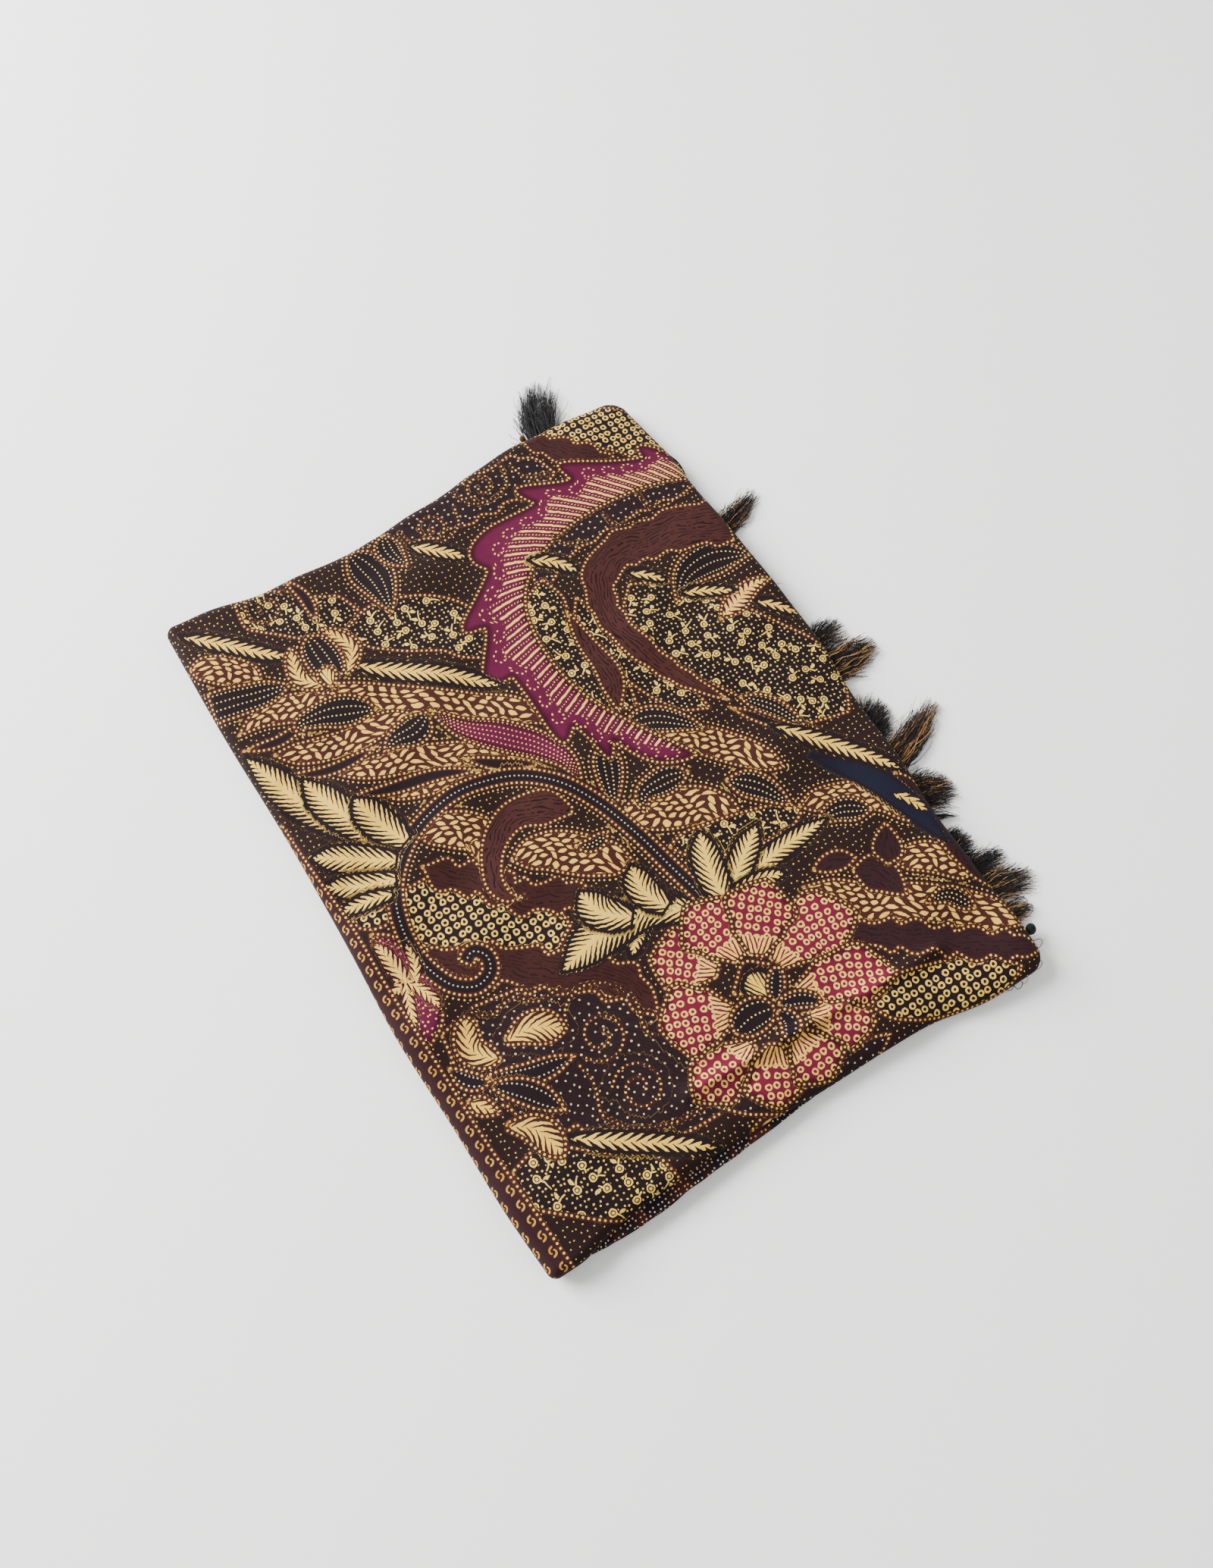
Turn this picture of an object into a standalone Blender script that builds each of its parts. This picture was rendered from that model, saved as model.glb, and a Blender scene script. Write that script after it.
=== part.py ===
"""A batik sarong folded flat into a rectangle, with tassels of its knotted fringe showing at the open end.

The frame: +Z up from the surface it lies on, -X the fold on the border side, +X the open end with the
tassels, -Y the near edge that rolls down, +Y the far edge. The origin is on the surface, under the middle.

The cloth stack is described once, as a rim that runs round the folded rectangle. At each point of the rim
the cloth leaves the flat top and turns down over an elliptical edge. The top panel is the wall between
two such surfaces, and the layers under it are a third one, closed below by a stack of thin rounded folds.
"""

from dataclasses import dataclass

import bpy
import numpy as np

MM = 0.001

# Driving sizes of the folded stack: half its plain rectangle, its height, the wall of the top panel
# and how far the flat top of the layers below lies under the panel's outer face
HALF_X = 141 * MM
HALF_Y = 189 * MM
STACK_HEIGHT = 12 * MM
CLOTH_WALL = 1.2 * MM
LAYERS_BELOW_TOP = 2.4 * MM

# The panel's grid, whose rows crowd towards the rolled near edge by this power
COLUMNS = 20
ROWS = 27
NEAR_CROWDING = 1.25
CORNER_STEPS = 4
PANEL_TURN_STEPS = 5
CORE_TURN_STEPS = 3
CORE_TURN = np.radians(78)

# Folded layers that show at the sides, below the panel's edge: how many, how deep the grooves between
# them, how far the first lies below the panel, how much every second one is set back, where in a fold
# its upper and lower turns lie, and how far the foot on the surface lies inside them
EDGE_LAYERS = 4
LAYER_GROOVE = 0.9 * MM
LAYER_DROP = 0.7 * MM
LAYER_STAGGER = 0.35 * MM
UPPER_TURN = 0.38
LOWER_TURN = 0.72
FOOT_INSET = 1.6 * MM

# Fringe: each tassel's head, the way its strands go and the one loose knot
HEAD_HEIGHT = 3.2 * MM
HEAD_DEPTH = 2.6 * MM
HEAD_BASE = 2.0 * MM
HEAD_GAP = 0.6 * MM
STRAND_STEPS = 3
STRAND_TIP_SCALE = 0.22
STRAND_END_HEIGHT = 1.0 * MM
STRAND_ARCH = 1.2 * MM
STRAND_LAYERING = 0.75
STRAND_LEAVE = 0.3
STRAND_SWAY = 0.01
SHORTEST_STRAND = 0.88
KNOT_RADIUS = 2.8 * MM
KNOT_HEIGHT = 5.9 * MM
KNOT_FLATTENING = 0.9
KNOT_OUT = 0.8 * KNOT_RADIUS


@dataclass(frozen=True)
class RimPoint:
    """The cloth's edge at one place along a side.

    along: place along the side, in mm. out: how far the outline lies outside the plain rectangle, in mm.
    reach and drop: the width and height of the rounded edge, in mm. turn: how far it turns, in degrees.
    foot: how far the layers below lie inside the outline, in mm; below zero they show past it.
    """

    along: float
    out: float
    reach: float
    drop: float
    turn: float
    foot: float


NEAR_SIDE = (
    RimPoint(along=-141, out=1.5, reach=4.5, drop=4.8, turn=92, foot=1.8),
    RimPoint(along=-128, out=1.4, reach=5, drop=4.6, turn=86, foot=1.4),
    RimPoint(along=-110, out=-2.2, reach=6, drop=4.5, turn=82, foot=-4.0),
    RimPoint(along=-60, out=-4.8, reach=8, drop=4.6, turn=82, foot=-5.4),
    RimPoint(along=-20, out=-4.2, reach=14, drop=5.2, turn=84, foot=-3.2),
    RimPoint(along=12, out=-2.4, reach=21, drop=6.4, turn=90, foot=0.6),
    RimPoint(along=55, out=-1.4, reach=24, drop=7.0, turn=96, foot=4.0),
    RimPoint(along=85, out=0.4, reach=22, drop=7.0, turn=96, foot=5.0),
    RimPoint(along=112, out=5.6, reach=16, drop=6.4, turn=94, foot=6.0),
    RimPoint(along=141, out=6.6, reach=10, drop=5.4, turn=88, foot=5.6),
)
RIGHT_SIDE = (
    RimPoint(along=-189, out=-4.6, reach=10, drop=5.0, turn=86, foot=5.6),
    RimPoint(along=-168, out=-3.0, reach=6, drop=4.6, turn=84, foot=7.0),
    RimPoint(along=-140, out=-4.0, reach=6, drop=4.6, turn=84, foot=7.0),
    RimPoint(along=-110, out=-4.6, reach=6, drop=4.4, turn=82, foot=7.0),
    RimPoint(along=-72, out=-1.0, reach=6, drop=4.4, turn=82, foot=7.0),
    RimPoint(along=-40, out=0.2, reach=6, drop=4.4, turn=82, foot=7.0),
    RimPoint(along=10, out=4.6, reach=6, drop=4.6, turn=84, foot=7.0),
    RimPoint(along=70, out=4.2, reach=6, drop=4.6, turn=84, foot=7.0),
    RimPoint(along=98, out=3.4, reach=6, drop=4.6, turn=84, foot=7.0),
    RimPoint(along=120, out=2.4, reach=6, drop=4.6, turn=84, foot=3.0),
    RimPoint(along=145, out=2.4, reach=7, drop=4.6, turn=84, foot=-2.0),
    RimPoint(along=165, out=1.0, reach=9, drop=5.0, turn=88, foot=3.0),
    RimPoint(along=189, out=-1.0, reach=12, drop=5.6, turn=92, foot=5.0),
)
FAR_SIDE = (
    RimPoint(along=-141, out=0.6, reach=5.5, drop=5.0, turn=96, foot=2.6),
    RimPoint(along=-126, out=-0.8, reach=5, drop=5.0, turn=88, foot=3.0),
    RimPoint(along=-100, out=-6.0, reach=6, drop=5.0, turn=86, foot=2.5),
    RimPoint(along=-66, out=-8.4, reach=6, drop=5.0, turn=86, foot=2.5),
    RimPoint(along=-30, out=-10.2, reach=6, drop=5.0, turn=86, foot=2.0),
    RimPoint(along=-8, out=-7.4, reach=6, drop=5.0, turn=86, foot=2.5),
    RimPoint(along=30, out=-4.0, reach=6, drop=5.0, turn=86, foot=4.0),
    RimPoint(along=70, out=1.2, reach=6, drop=4.8, turn=84, foot=7.0),
    RimPoint(along=106, out=1.8, reach=7, drop=4.8, turn=84, foot=7.0),
    RimPoint(along=141, out=1.0, reach=12, drop=5.6, turn=92, foot=5.0),
)
LEFT_SIDE = (
    RimPoint(along=-189, out=-2.0, reach=4.5, drop=5.4, turn=120, foot=3.6),
    RimPoint(along=-160, out=0.1, reach=5.6, drop=5.6, turn=150, foot=5.6),
    RimPoint(along=-110, out=1.0, reach=5.8, drop=5.6, turn=150, foot=5.6),
    RimPoint(along=-62, out=2.6, reach=5.8, drop=5.6, turn=150, foot=5.6),
    RimPoint(along=-10, out=0.6, reach=5.8, drop=5.6, turn=150, foot=5.6),
    RimPoint(along=50, out=-0.4, reach=5.8, drop=5.6, turn=150, foot=5.6),
    RimPoint(along=125, out=0.6, reach=5.6, drop=5.6, turn=150, foot=5.6),
    RimPoint(along=189, out=-0.4, reach=5.5, drop=5.4, turn=120, foot=2.8),
)


@dataclass(frozen=True)
class Crease:
    """A soft straight ridge in the top panel, from start to end in mm, with its height and half width."""

    start: tuple[float, float]
    end: tuple[float, float]
    height: float
    half_width: float


CREASES = (
    Crease(start=(-46, -160), end=(78, -163), height=1.3, half_width=5),
    Crease(start=(-118, -150), end=(-30, -158), height=0.5, half_width=7),
    Crease(start=(-128, 150), end=(-118, -60), height=0.5, half_width=6),
    Crease(start=(-20, 150), end=(70, 60), height=0.8, half_width=16),
    Crease(start=(-70, 60), end=(-20, -90), height=0.7, half_width=18),
    Crease(start=(60, -20), end=(100, -130), height=0.9, half_width=17),
)
SWELL_HEIGHT = 0.6 * MM


@dataclass(frozen=True)
class Tassel:
    """One lock of fringe, rooted under the edge of a side.

    along: place of its head along the side, width: the head's width, tip: where its middle strand ends,
    spread: the width of the brush at its tips, all in mm. across: cells of the head, two strands a cell.
    """

    side: str
    along: float
    width: float
    tip: tuple[float, float]
    spread: float
    across: int
    levels: int = 1


TASSELS = (
    Tassel(side="far", along=90, width=16, tip=(105, 228), spread=15, across=6, levels=2),
    Tassel(side="right", along=88, width=10, tip=(173, 99), spread=9, across=4, levels=2),
    Tassel(side="right", along=6, width=9, tip=(165, 8), spread=11, across=5, levels=1),
    Tassel(side="right", along=-11, width=16, tip=(173, -10), spread=13, across=5, levels=2),
    Tassel(side="right", along=-50, width=15, tip=(156, -43), spread=15, across=6, levels=2),
    Tassel(side="right", along=-72, width=13, tip=(179, -56), spread=12, across=5, levels=2),
    Tassel(side="right", along=-91, width=17, tip=(158, -96), spread=15, across=6, levels=2),
    Tassel(side="right", along=-105, width=3, tip=(149, -111), spread=3, across=2, levels=1),
    Tassel(side="right", along=-123, width=12, tip=(148, -124), spread=10, across=5, levels=1),
    Tassel(side="right", along=-137, width=9, tip=(157, -139), spread=8, across=4, levels=1),
    Tassel(side="right", along=-150, width=12, tip=(162, -155), spread=12, across=5, levels=2),
    Tassel(side="right", along=-165, width=8, tip=(151, -168), spread=6, across=4, levels=1),
)
FRINGE_KNOT_ALONG = -178


def table_value(rows, column: str, at):
    """A smooth curve through one column of a side's table, read at the places given in metres.

    Between two rows it is a cubic whose slope at each row is that of the line through its neighbours.
    """
    places = np.array([row.along for row in rows]) * MM
    values = np.array([getattr(row, column) for row in rows])
    slopes = np.gradient(values, places)
    at = np.clip(np.asarray(at, float), places[0], places[-1])
    left = np.clip(np.searchsorted(places, at) - 1, 0, len(places) - 2)
    span = places[left + 1] - places[left]
    t = (at - places[left]) / span
    rise = t * t * (3 - 2 * t)
    leave = t * (1 - t) ** 2
    arrive = t * t * (t - 1)
    flat_part = values[left] * (1 - rise) + values[left + 1] * rise
    return flat_part + span * (slopes[left] * leave + slopes[left + 1] * arrive)


def relief(x, y):
    """Height of the top panel's soft ridges over its flat level.

    A low swell in the middle, plus for each crease a bell curve of the distance to its line.
    """
    swell = SWELL_HEIGHT * np.cos(x / HALF_X * np.pi / 2) * np.cos(y / HALF_Y * np.pi / 2)
    total = np.clip(swell, 0, None)
    for crease in CREASES:
        start = np.array(crease.start) * MM
        line = np.array(crease.end) * MM - start
        share = ((x - start[0]) * line[0] + (y - start[1]) * line[1]) / (line @ line)
        share = np.clip(share, 0, 1)
        away = np.hypot(x - start[0] - share * line[0], y - start[1] - share * line[1])
        total = total + crease.height * MM * np.exp(-((away / (crease.half_width * MM)) ** 2))
    return total


class Rim:
    """The edge of the flat top, point by point, and how the cloth turns down from it.

    base holds the indices of the grid's own edge points, with each corner's point repeated, and the arrays
    beside it hold what the rounded edge does there.
    """

    def __init__(self):
        u = np.linspace(0, 1, COLUMNS + 1)
        v = np.linspace(0, 1, ROWS + 1) ** NEAR_CROWDING
        u, v = np.meshgrid(u, v)
        x = (2 * u - 1) * HALF_X
        y = (2 * v - 1) * HALF_Y
        left = HALF_X + self.inner(LEFT_SIDE, y)
        right = HALF_X + self.inner(RIGHT_SIDE, y)
        near = HALF_Y + self.inner(NEAR_SIDE, x)
        far = HALF_Y + self.inner(FAR_SIDE, x)
        self.x = -left * (1 - u) + right * u
        self.y = -near * (1 - v) + far * v
        ids = np.arange(u.size).reshape(u.shape)
        self.grid = ids
        sides = (
            (NEAR_SIDE, ids[0, :], x[0, :], 270),
            (RIGHT_SIDE, ids[:, -1], y[:, -1], 360),
            (FAR_SIDE, ids[-1, ::-1], x[-1, ::-1], 450),
            (LEFT_SIDE, ids[::-1, 0], y[::-1, 0], 540),
        )
        columns = ("reach", "drop", "turn", "foot")
        base = []
        angle = []
        shape = []
        for k, (rows, edge, along, facing) in enumerate(sides):
            before_rows, _, before_along, _ = sides[k - 1]
            start = np.array([table_value(before_rows, c, before_along[-1]) for c in columns])
            end = np.array([table_value(rows, c, along[0]) for c in columns])
            for step in np.linspace(0, 1, CORNER_STEPS + 1):
                base.append(edge[0])
                angle.append(facing - 90 + 90 * step)
                shape.append(start * (1 - step) + end * step)
            base.extend(edge[1:-1])
            angle.extend([facing] * (len(edge) - 2))
            shape.extend(np.stack([table_value(rows, c, along[1:-1]) for c in columns], axis=1))
        self.base = np.array(base)
        facing = np.radians(np.array(angle, float))
        self.direction = np.stack([np.cos(facing), np.sin(facing)], axis=1)
        shape = np.array(shape)
        self.reach, self.drop, self.foot = (shape[:, k] * MM for k in (0, 1, 3))
        self.turn = np.radians(shape[:, 2])

    @staticmethod
    def inner(rows, along):
        """How far outside the plain rectangle the flat top ends: the outline less the rounded edge."""
        return (table_value(rows, "out", along) - table_value(rows, "reach", along)) * MM

    def flat_points(self, depth: float):
        """The flat top's grid, this far below the outer face."""
        z = STACK_HEIGHT - depth + relief(self.x, self.y)
        return np.stack([self.x, self.y, z], axis=-1).reshape(-1, 3)

    def turned(self, depth: float, turn, top):
        """One ring of the rounded edge.

        The outward distance is the reach times the sine of the turn, and past a right angle it comes back
        in on a circle as wide as the drop. The height falls by the drop times one less the cosine.
        """
        reach = self.reach - depth
        drop = self.drop - depth
        back = np.minimum(reach, drop)
        sine = np.sin(turn)
        out = np.where(turn <= np.pi / 2, reach * sine, reach - back * (1 - sine))
        xy = self.edge_xy() + self.direction * out[:, None]
        z = top - drop * (1 - np.cos(turn))
        return np.column_stack([xy, z])

    def edge_xy(self):
        """The rim's own points on plan, corners repeated."""
        return np.stack([self.x.ravel(), self.y.ravel()], axis=1)[self.base]


def strip(first, second):
    """Faces between two rings of point numbers, with a triangle where one ring repeats a point."""
    faces = []
    count = len(first)
    for i in range(count):
        j = (i + 1) % count
        corners = [first[i], second[i], second[j], first[j]]
        faces.append(tuple(dict.fromkeys(int(c) for c in corners)))
    return faces


def grid_faces(ids):
    """The quads of a grid of point numbers, facing up."""
    quads = np.stack([ids[:-1, :-1], ids[:-1, 1:], ids[1:, 1:], ids[1:, :-1]], axis=-1)
    return [tuple(int(c) for c in quad) for quad in quads.reshape(-1, 4)]


def make_object(name: str, points, faces, material, smooth_angle: float = 60):
    """A mesh object of these points and faces, smooth but for its sharp edges."""
    mesh = bpy.data.meshes.new(name)
    mesh.from_pydata([tuple(p) for p in np.asarray(points, float)], [], faces)
    mesh.validate()
    mesh.materials.append(material)
    mesh.shade_smooth()
    mesh.set_sharp_from_angle(angle=np.radians(smooth_angle))
    obj = bpy.data.objects.new(name, mesh)
    bpy.context.scene.collection.objects.link(obj)
    return obj


def make_material(name: str, colour, roughness: float):
    """A plain cloth or yarn finish."""
    material = bpy.data.materials.new(name)
    material.use_nodes = True
    shader = material.node_tree.nodes["Principled BSDF"]
    shader.inputs["Base Color"].default_value = (*colour, 1)
    shader.inputs["Roughness"].default_value = roughness
    shader.inputs["Metallic"].default_value = 0
    return material


def face_of_cloth(rim: Rim, depth: float, start: int):
    """One face of the panel's wall: its points, its faces and the ring at its free edge."""
    flat = rim.flat_points(depth)
    top = flat[rim.base, 2]
    rings = [flat]
    faces = grid_faces(rim.grid + start)
    previous = rim.base + start
    for step in range(1, PANEL_TURN_STEPS + 1):
        ring = rim.turned(depth, rim.turn * step / PANEL_TURN_STEPS, top)
        numbers = np.arange(len(ring)) + start + sum(len(r) for r in rings)
        faces += strip(previous, numbers)
        rings.append(ring)
        previous = numbers
    return np.concatenate(rings), faces, previous


def build_top_panel(rim: Rim, material):
    """The top panel, a wall that lies on the stack and turns down round it, open underneath."""
    outer, outer_faces, outer_edge = face_of_cloth(rim, 0, 0)
    inner, inner_faces, inner_edge = face_of_cloth(rim, CLOTH_WALL, len(outer))
    faces = outer_faces + [face[::-1] for face in inner_faces]
    faces += strip(outer_edge, inner_edge)
    return make_object("TopPanel", np.concatenate([outer, inner]), faces, material)


def build_folded_layers(rim: Rim, material):
    """The folded layers under the panel: one solid with a flat foot and a stack of rounded folds round it.

    Each fold is three rings: the groove above it and the upper and lower turn of the fold.
    """
    edge_xy = rim.edge_xy()
    order = list(dict.fromkeys(int(b) for b in rim.base))
    renumber = {old: new for new, old in enumerate(order)}
    level = STACK_HEIGHT - LAYERS_BELOW_TOP
    grid_xy = np.stack([rim.x.ravel(), rim.y.ravel()], axis=1)[order]
    points = [np.column_stack([grid_xy, np.full(len(order), level)])]
    faces = [tuple(range(len(order)))]
    previous = np.array([renumber[int(b)] for b in rim.base])
    count = len(order)

    def add_ring(ring):
        nonlocal previous, count
        numbers = np.arange(len(ring)) + count
        faces.extend(strip(previous, numbers))
        points.append(ring)
        previous = numbers
        count += len(ring)

    turn = np.minimum(rim.turn, CORE_TURN)
    for step in range(1, CORE_TURN_STEPS + 1):
        add_ring(rim.turned(LAYERS_BELOW_TOP, turn * step / CORE_TURN_STEPS, level))
    last = points[-1]
    side_out = ((last[:, :2] - edge_xy) * rim.direction).sum(axis=1)
    foot_out = rim.reach - rim.foot
    fold = last[:, 2] / EDGE_LAYERS
    for layer in range(EDGE_LAYERS):
        above = last[:, 2] - layer * fold
        proud = foot_out - LAYER_STAGGER * (layer % 2)
        groove = np.minimum(side_out, foot_out) if layer == 0 else foot_out
        rings = (
            (groove - LAYER_GROOVE, above - LAYER_DROP * (layer == 0)),
            (proud, above - UPPER_TURN * fold),
            (proud, above - LOWER_TURN * fold),
        )
        for out, z in rings:
            add_ring(np.column_stack([edge_xy + rim.direction * out[:, None], z]))
    foot = edge_xy + rim.direction * (foot_out - FOOT_INSET)[:, None]
    add_ring(np.column_stack([foot, np.zeros(len(foot))]))
    faces.append(tuple(int(n) for n in previous[::-1]))
    return make_object("FoldedLayers", np.concatenate(points), faces, material)


def outline_point(side: str, along: float):
    """The outline at a place along the right or far side.

    Also how far the layers below lie inside it there, and its outward and its sideways direction.
    """
    rows = RIGHT_SIDE if side == "right" else FAR_SIDE
    out = table_value(rows, "out", along * MM) * MM
    foot = table_value(rows, "foot", along * MM) * MM
    if side == "right":
        return np.array([HALF_X + out, along * MM]), foot, np.array([1.0, 0.0]), np.array([0.0, 1.0])
    return np.array([along * MM, HALF_Y + out]), foot, np.array([0.0, 1.0]), np.array([-1.0, 0.0])


def build_tassel(name: str, tassel: Tassel, material, random):
    """A tassel: a flat head under the cloth's edge, and strands drawn out of the head's front face.

    The front face is a grid of cells, each split into two triangles, and every triangle is drawn out along
    its own curved path as a three-sided strand that thins to its tip. The paths fan out in the same order
    as their roots, sink towards the surface and end just over it.
    """
    across = np.linspace(-0.5, 0.5, tassel.across + 1) * tassel.width
    if tassel.side == "far":
        across = across[::-1]
    plan = []
    for place in tassel.along + across:
        root, foot, outward, sideways = outline_point(tassel.side, place)
        plan.append(root - outward * (foot - HEAD_GAP - HEAD_DEPTH))
    front = np.mean(plan, axis=0)
    levels = np.linspace(HEAD_BASE, HEAD_BASE + HEAD_HEIGHT, tassel.levels + 1)
    face = np.array([[(*point, level) for point in plan] for level in levels])
    back = face - np.append(outward, 0) * HEAD_DEPTH
    points = [face.reshape(-1, 3), back.reshape(-1, 3)]
    size = face.shape[0] * face.shape[1]
    ids = np.arange(size).reshape(face.shape[:2])
    rim_ids = np.concatenate([ids[0, :-1], ids[:-1, -1], ids[-1, :0:-1], ids[:0:-1, 0]])
    faces = strip(rim_ids, rim_ids + size)
    faces += [f[::-1] for f in grid_faces(ids + size)]
    count = 2 * size
    for row in range(tassel.levels):
        for column in range(tassel.across):
            a, b = ids[row, column], ids[row, column + 1]
            d, c = ids[row + 1, column], ids[row + 1, column + 1]
            for corners in ((a, b, c), (a, c, d)):
                root = points[0][list(corners)]
                tip = strand_tip(tassel, front, sideways, root.mean(axis=0), random)
                rings = strand_rings(root, tip, outward, row)
                previous = [int(corner) for corner in corners]
                for ring in rings:
                    numbers = [count, count + 1, count + 2]
                    faces += strip(numbers, previous)
                    points.append(ring)
                    previous = numbers
                    count += 3
                faces.append(tuple(previous))
    return make_object(name, np.concatenate(points), faces, material, smooth_angle=80)


def strand_tip(tassel: Tassel, front, sideways, centre, random):
    """Where a strand ends: its root's place in the head, spread to the brush's width at the tips."""
    share = ((centre[:2] - front) @ sideways) / (tassel.width * MM)
    sway = random.uniform(-STRAND_SWAY, STRAND_SWAY)
    reach = random.uniform(SHORTEST_STRAND, 1.0)
    tip = front + (np.array(tassel.tip) * MM - front) * reach
    tip = tip + sideways * (share + sway) * tassel.spread * MM
    return np.append(tip, STRAND_END_HEIGHT + (centre[2] - HEAD_BASE) * STRAND_LAYERING)


def strand_rings(root, tip, outward, row: int):
    """The rings of one strand, on a quadratic curve that leaves the head straight and bends to its tip."""
    centre = root.mean(axis=0)
    straight = STRAND_LEAVE * np.linalg.norm(tip - centre)
    middle = centre + np.append(outward * straight, STRAND_ARCH * row)
    rings = []
    for t in np.linspace(0, 1, STRAND_STEPS + 1)[1:]:
        path = (1 - t) ** 2 * centre + 2 * t * (1 - t) * middle + t * t * tip
        scale = 1 + (STRAND_TIP_SCALE - 1) * t
        rings.append(path + (root - centre) * scale)
    return rings


def build_knot(material):
    """The small loose knot of yarn beside the last tassels: a ball flattened a little."""
    root, _, outward, _ = outline_point("right", FRINGE_KNOT_ALONG)
    centre = np.append(root + outward * KNOT_OUT, KNOT_HEIGHT)
    around = 10
    rings = 5
    half_height = KNOT_RADIUS * KNOT_FLATTENING
    turn = np.arange(around) * 2 * np.pi / around
    points = [centre + np.array([0, 0, half_height])]
    for k in range(1, rings):
        polar = np.pi * k / rings
        radius = KNOT_RADIUS * np.sin(polar)
        level = np.full(around, half_height * np.cos(polar))
        points.extend(centre + np.column_stack([radius * np.cos(turn), radius * np.sin(turn), level]))
    points.append(centre - np.array([0, 0, half_height]))
    last = len(points) - 1
    faces = []
    first = 1 + np.arange(around)
    for i in range(around):
        faces.append((0, int(first[i]), int(first[(i + 1) % around])))
    for k in range(rings - 2):
        faces += strip(first + k * around, first + (k + 1) * around)
    lowest = first + (rings - 2) * around
    for i in range(around):
        faces.append((int(lowest[i]), last, int(lowest[(i + 1) % around])))
    return make_object("FringeKnot", points, faces, material)


def main():
    """Clears the scene and builds every piece."""
    for obj in list(bpy.data.objects):
        bpy.data.objects.remove(obj, do_unlink=True)
    batik = make_material("BatikCloth", (0.22, 0.10, 0.07), 0.72)
    layers = make_material("FoldedCloth", (0.05, 0.025, 0.03), 0.8)
    yarn = make_material("FringeYarn", (0.035, 0.03, 0.035), 0.85)
    random = np.random.default_rng(7)
    rim = Rim()
    build_top_panel(rim, batik)
    build_folded_layers(rim, layers)
    for number, tassel in enumerate(TASSELS, start=1):
        build_tassel(f"Tassel_{number:02d}", tassel, yarn, random)
    build_knot(yarn)


if __name__ == "__main__":
    main()
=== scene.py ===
"""The looks of a batik sarong folded flat: printed cloth, folded layers under it and the yarn of its fringe.

The cloth has the same rim as its solids: a table for each side says where the flat top ends and how the cloth
turns down from there. The print is drawn in surface coordinates, in mm, by shapes with a spine and a half
width. Numpy works out for every point which shape covers it, how far it is from the shapes' outlines and
where it lies along and across its own. The material turns that into dots, rings, grains, barbs and beads.
"""

import logging
from collections.abc import Sequence
from dataclasses import dataclass
from enum import Enum

import bpy
import numpy as np
from bpy.types import Material, Node, NodeSocket, NodeTree, Object
from mathutils import Matrix, Vector

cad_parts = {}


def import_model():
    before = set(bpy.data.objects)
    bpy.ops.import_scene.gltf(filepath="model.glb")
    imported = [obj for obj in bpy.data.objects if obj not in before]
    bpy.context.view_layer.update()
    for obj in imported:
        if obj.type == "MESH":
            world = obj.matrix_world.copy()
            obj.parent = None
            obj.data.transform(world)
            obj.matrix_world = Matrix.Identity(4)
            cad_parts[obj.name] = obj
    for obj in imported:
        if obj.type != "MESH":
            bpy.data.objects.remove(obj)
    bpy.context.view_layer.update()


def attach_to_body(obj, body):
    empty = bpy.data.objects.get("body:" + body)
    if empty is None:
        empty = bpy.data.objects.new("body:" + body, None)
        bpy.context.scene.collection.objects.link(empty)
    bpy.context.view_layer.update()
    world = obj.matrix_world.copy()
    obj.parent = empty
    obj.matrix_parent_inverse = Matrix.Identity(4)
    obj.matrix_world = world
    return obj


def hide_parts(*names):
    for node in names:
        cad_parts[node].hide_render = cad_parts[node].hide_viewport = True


MM = 0.001
LOG = logging.getLogger("sarong")

Array = np.ndarray
Point = tuple[float, float]
Triple = tuple[float, float, float]

# The folded stack, as in its solids
HALF_X = 141 * MM
HALF_Y = 189 * MM
STACK_HEIGHT = 12 * MM
CLOTH_WALL = 1.2 * MM
LAYERS_BELOW_TOP = 2.4 * MM
CORE_TURN = np.radians(78)
LAYER_DROP = 0.7 * MM
FOOT_INSET = 1.6 * MM
SWELL_HEIGHT = 0.6 * MM


@dataclass(frozen=True)
class RimPoint:
    """The cloth's edge at one place along a side.

    along: place along the side, in mm. out: how far the outline lies outside the plain rectangle, in mm.
    reach and drop: the width and height of the rounded edge, in mm. turn: how far it turns, in degrees.
    foot: how far the layers below lie inside the outline, in mm; below zero they show past it.
    """

    along: float
    out: float
    reach: float
    drop: float
    turn: float
    foot: float


def rim(*rows: tuple[float, ...]) -> tuple[RimPoint, ...]:
    """The rim points of a side, each row's numbers in the order of the fields."""
    return tuple(RimPoint(*row) for row in rows)


NEAR_SIDE = rim(
    (-141, 1.5, 4.5, 4.8, 92, 1.8), (-128, 1.4, 5, 4.6, 86, 1.4), (-110, -2.2, 6, 4.5, 82, -4.0),
    (-60, -4.8, 8, 4.6, 82, -5.4), (-20, -4.2, 14, 5.2, 84, -3.2), (12, -2.4, 21, 6.4, 90, 0.6),
    (55, -1.4, 24, 7.0, 96, 4.0), (85, 0.4, 22, 7.0, 96, 5.0), (112, 5.6, 16, 6.4, 94, 6.0),
    (141, 6.6, 10, 5.4, 88, 5.6),
)
RIGHT_SIDE = rim(
    (-189, -4.6, 10, 5.0, 86, 5.6), (-168, -3.0, 6, 4.6, 84, 7.0), (-140, -4.0, 6, 4.6, 84, 7.0),
    (-110, -4.6, 6, 4.4, 82, 7.0), (-72, -1.0, 6, 4.4, 82, 7.0), (-40, 0.2, 6, 4.4, 82, 7.0),
    (10, 4.6, 6, 4.6, 84, 7.0), (70, 4.2, 6, 4.6, 84, 7.0), (98, 3.4, 6, 4.6, 84, 7.0),
    (120, 2.4, 6, 4.6, 84, 3.0), (145, 2.4, 7, 4.6, 84, -2.0), (165, 1.0, 9, 5.0, 88, 3.0),
    (189, -1.0, 12, 5.6, 92, 5.0),
)
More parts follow.
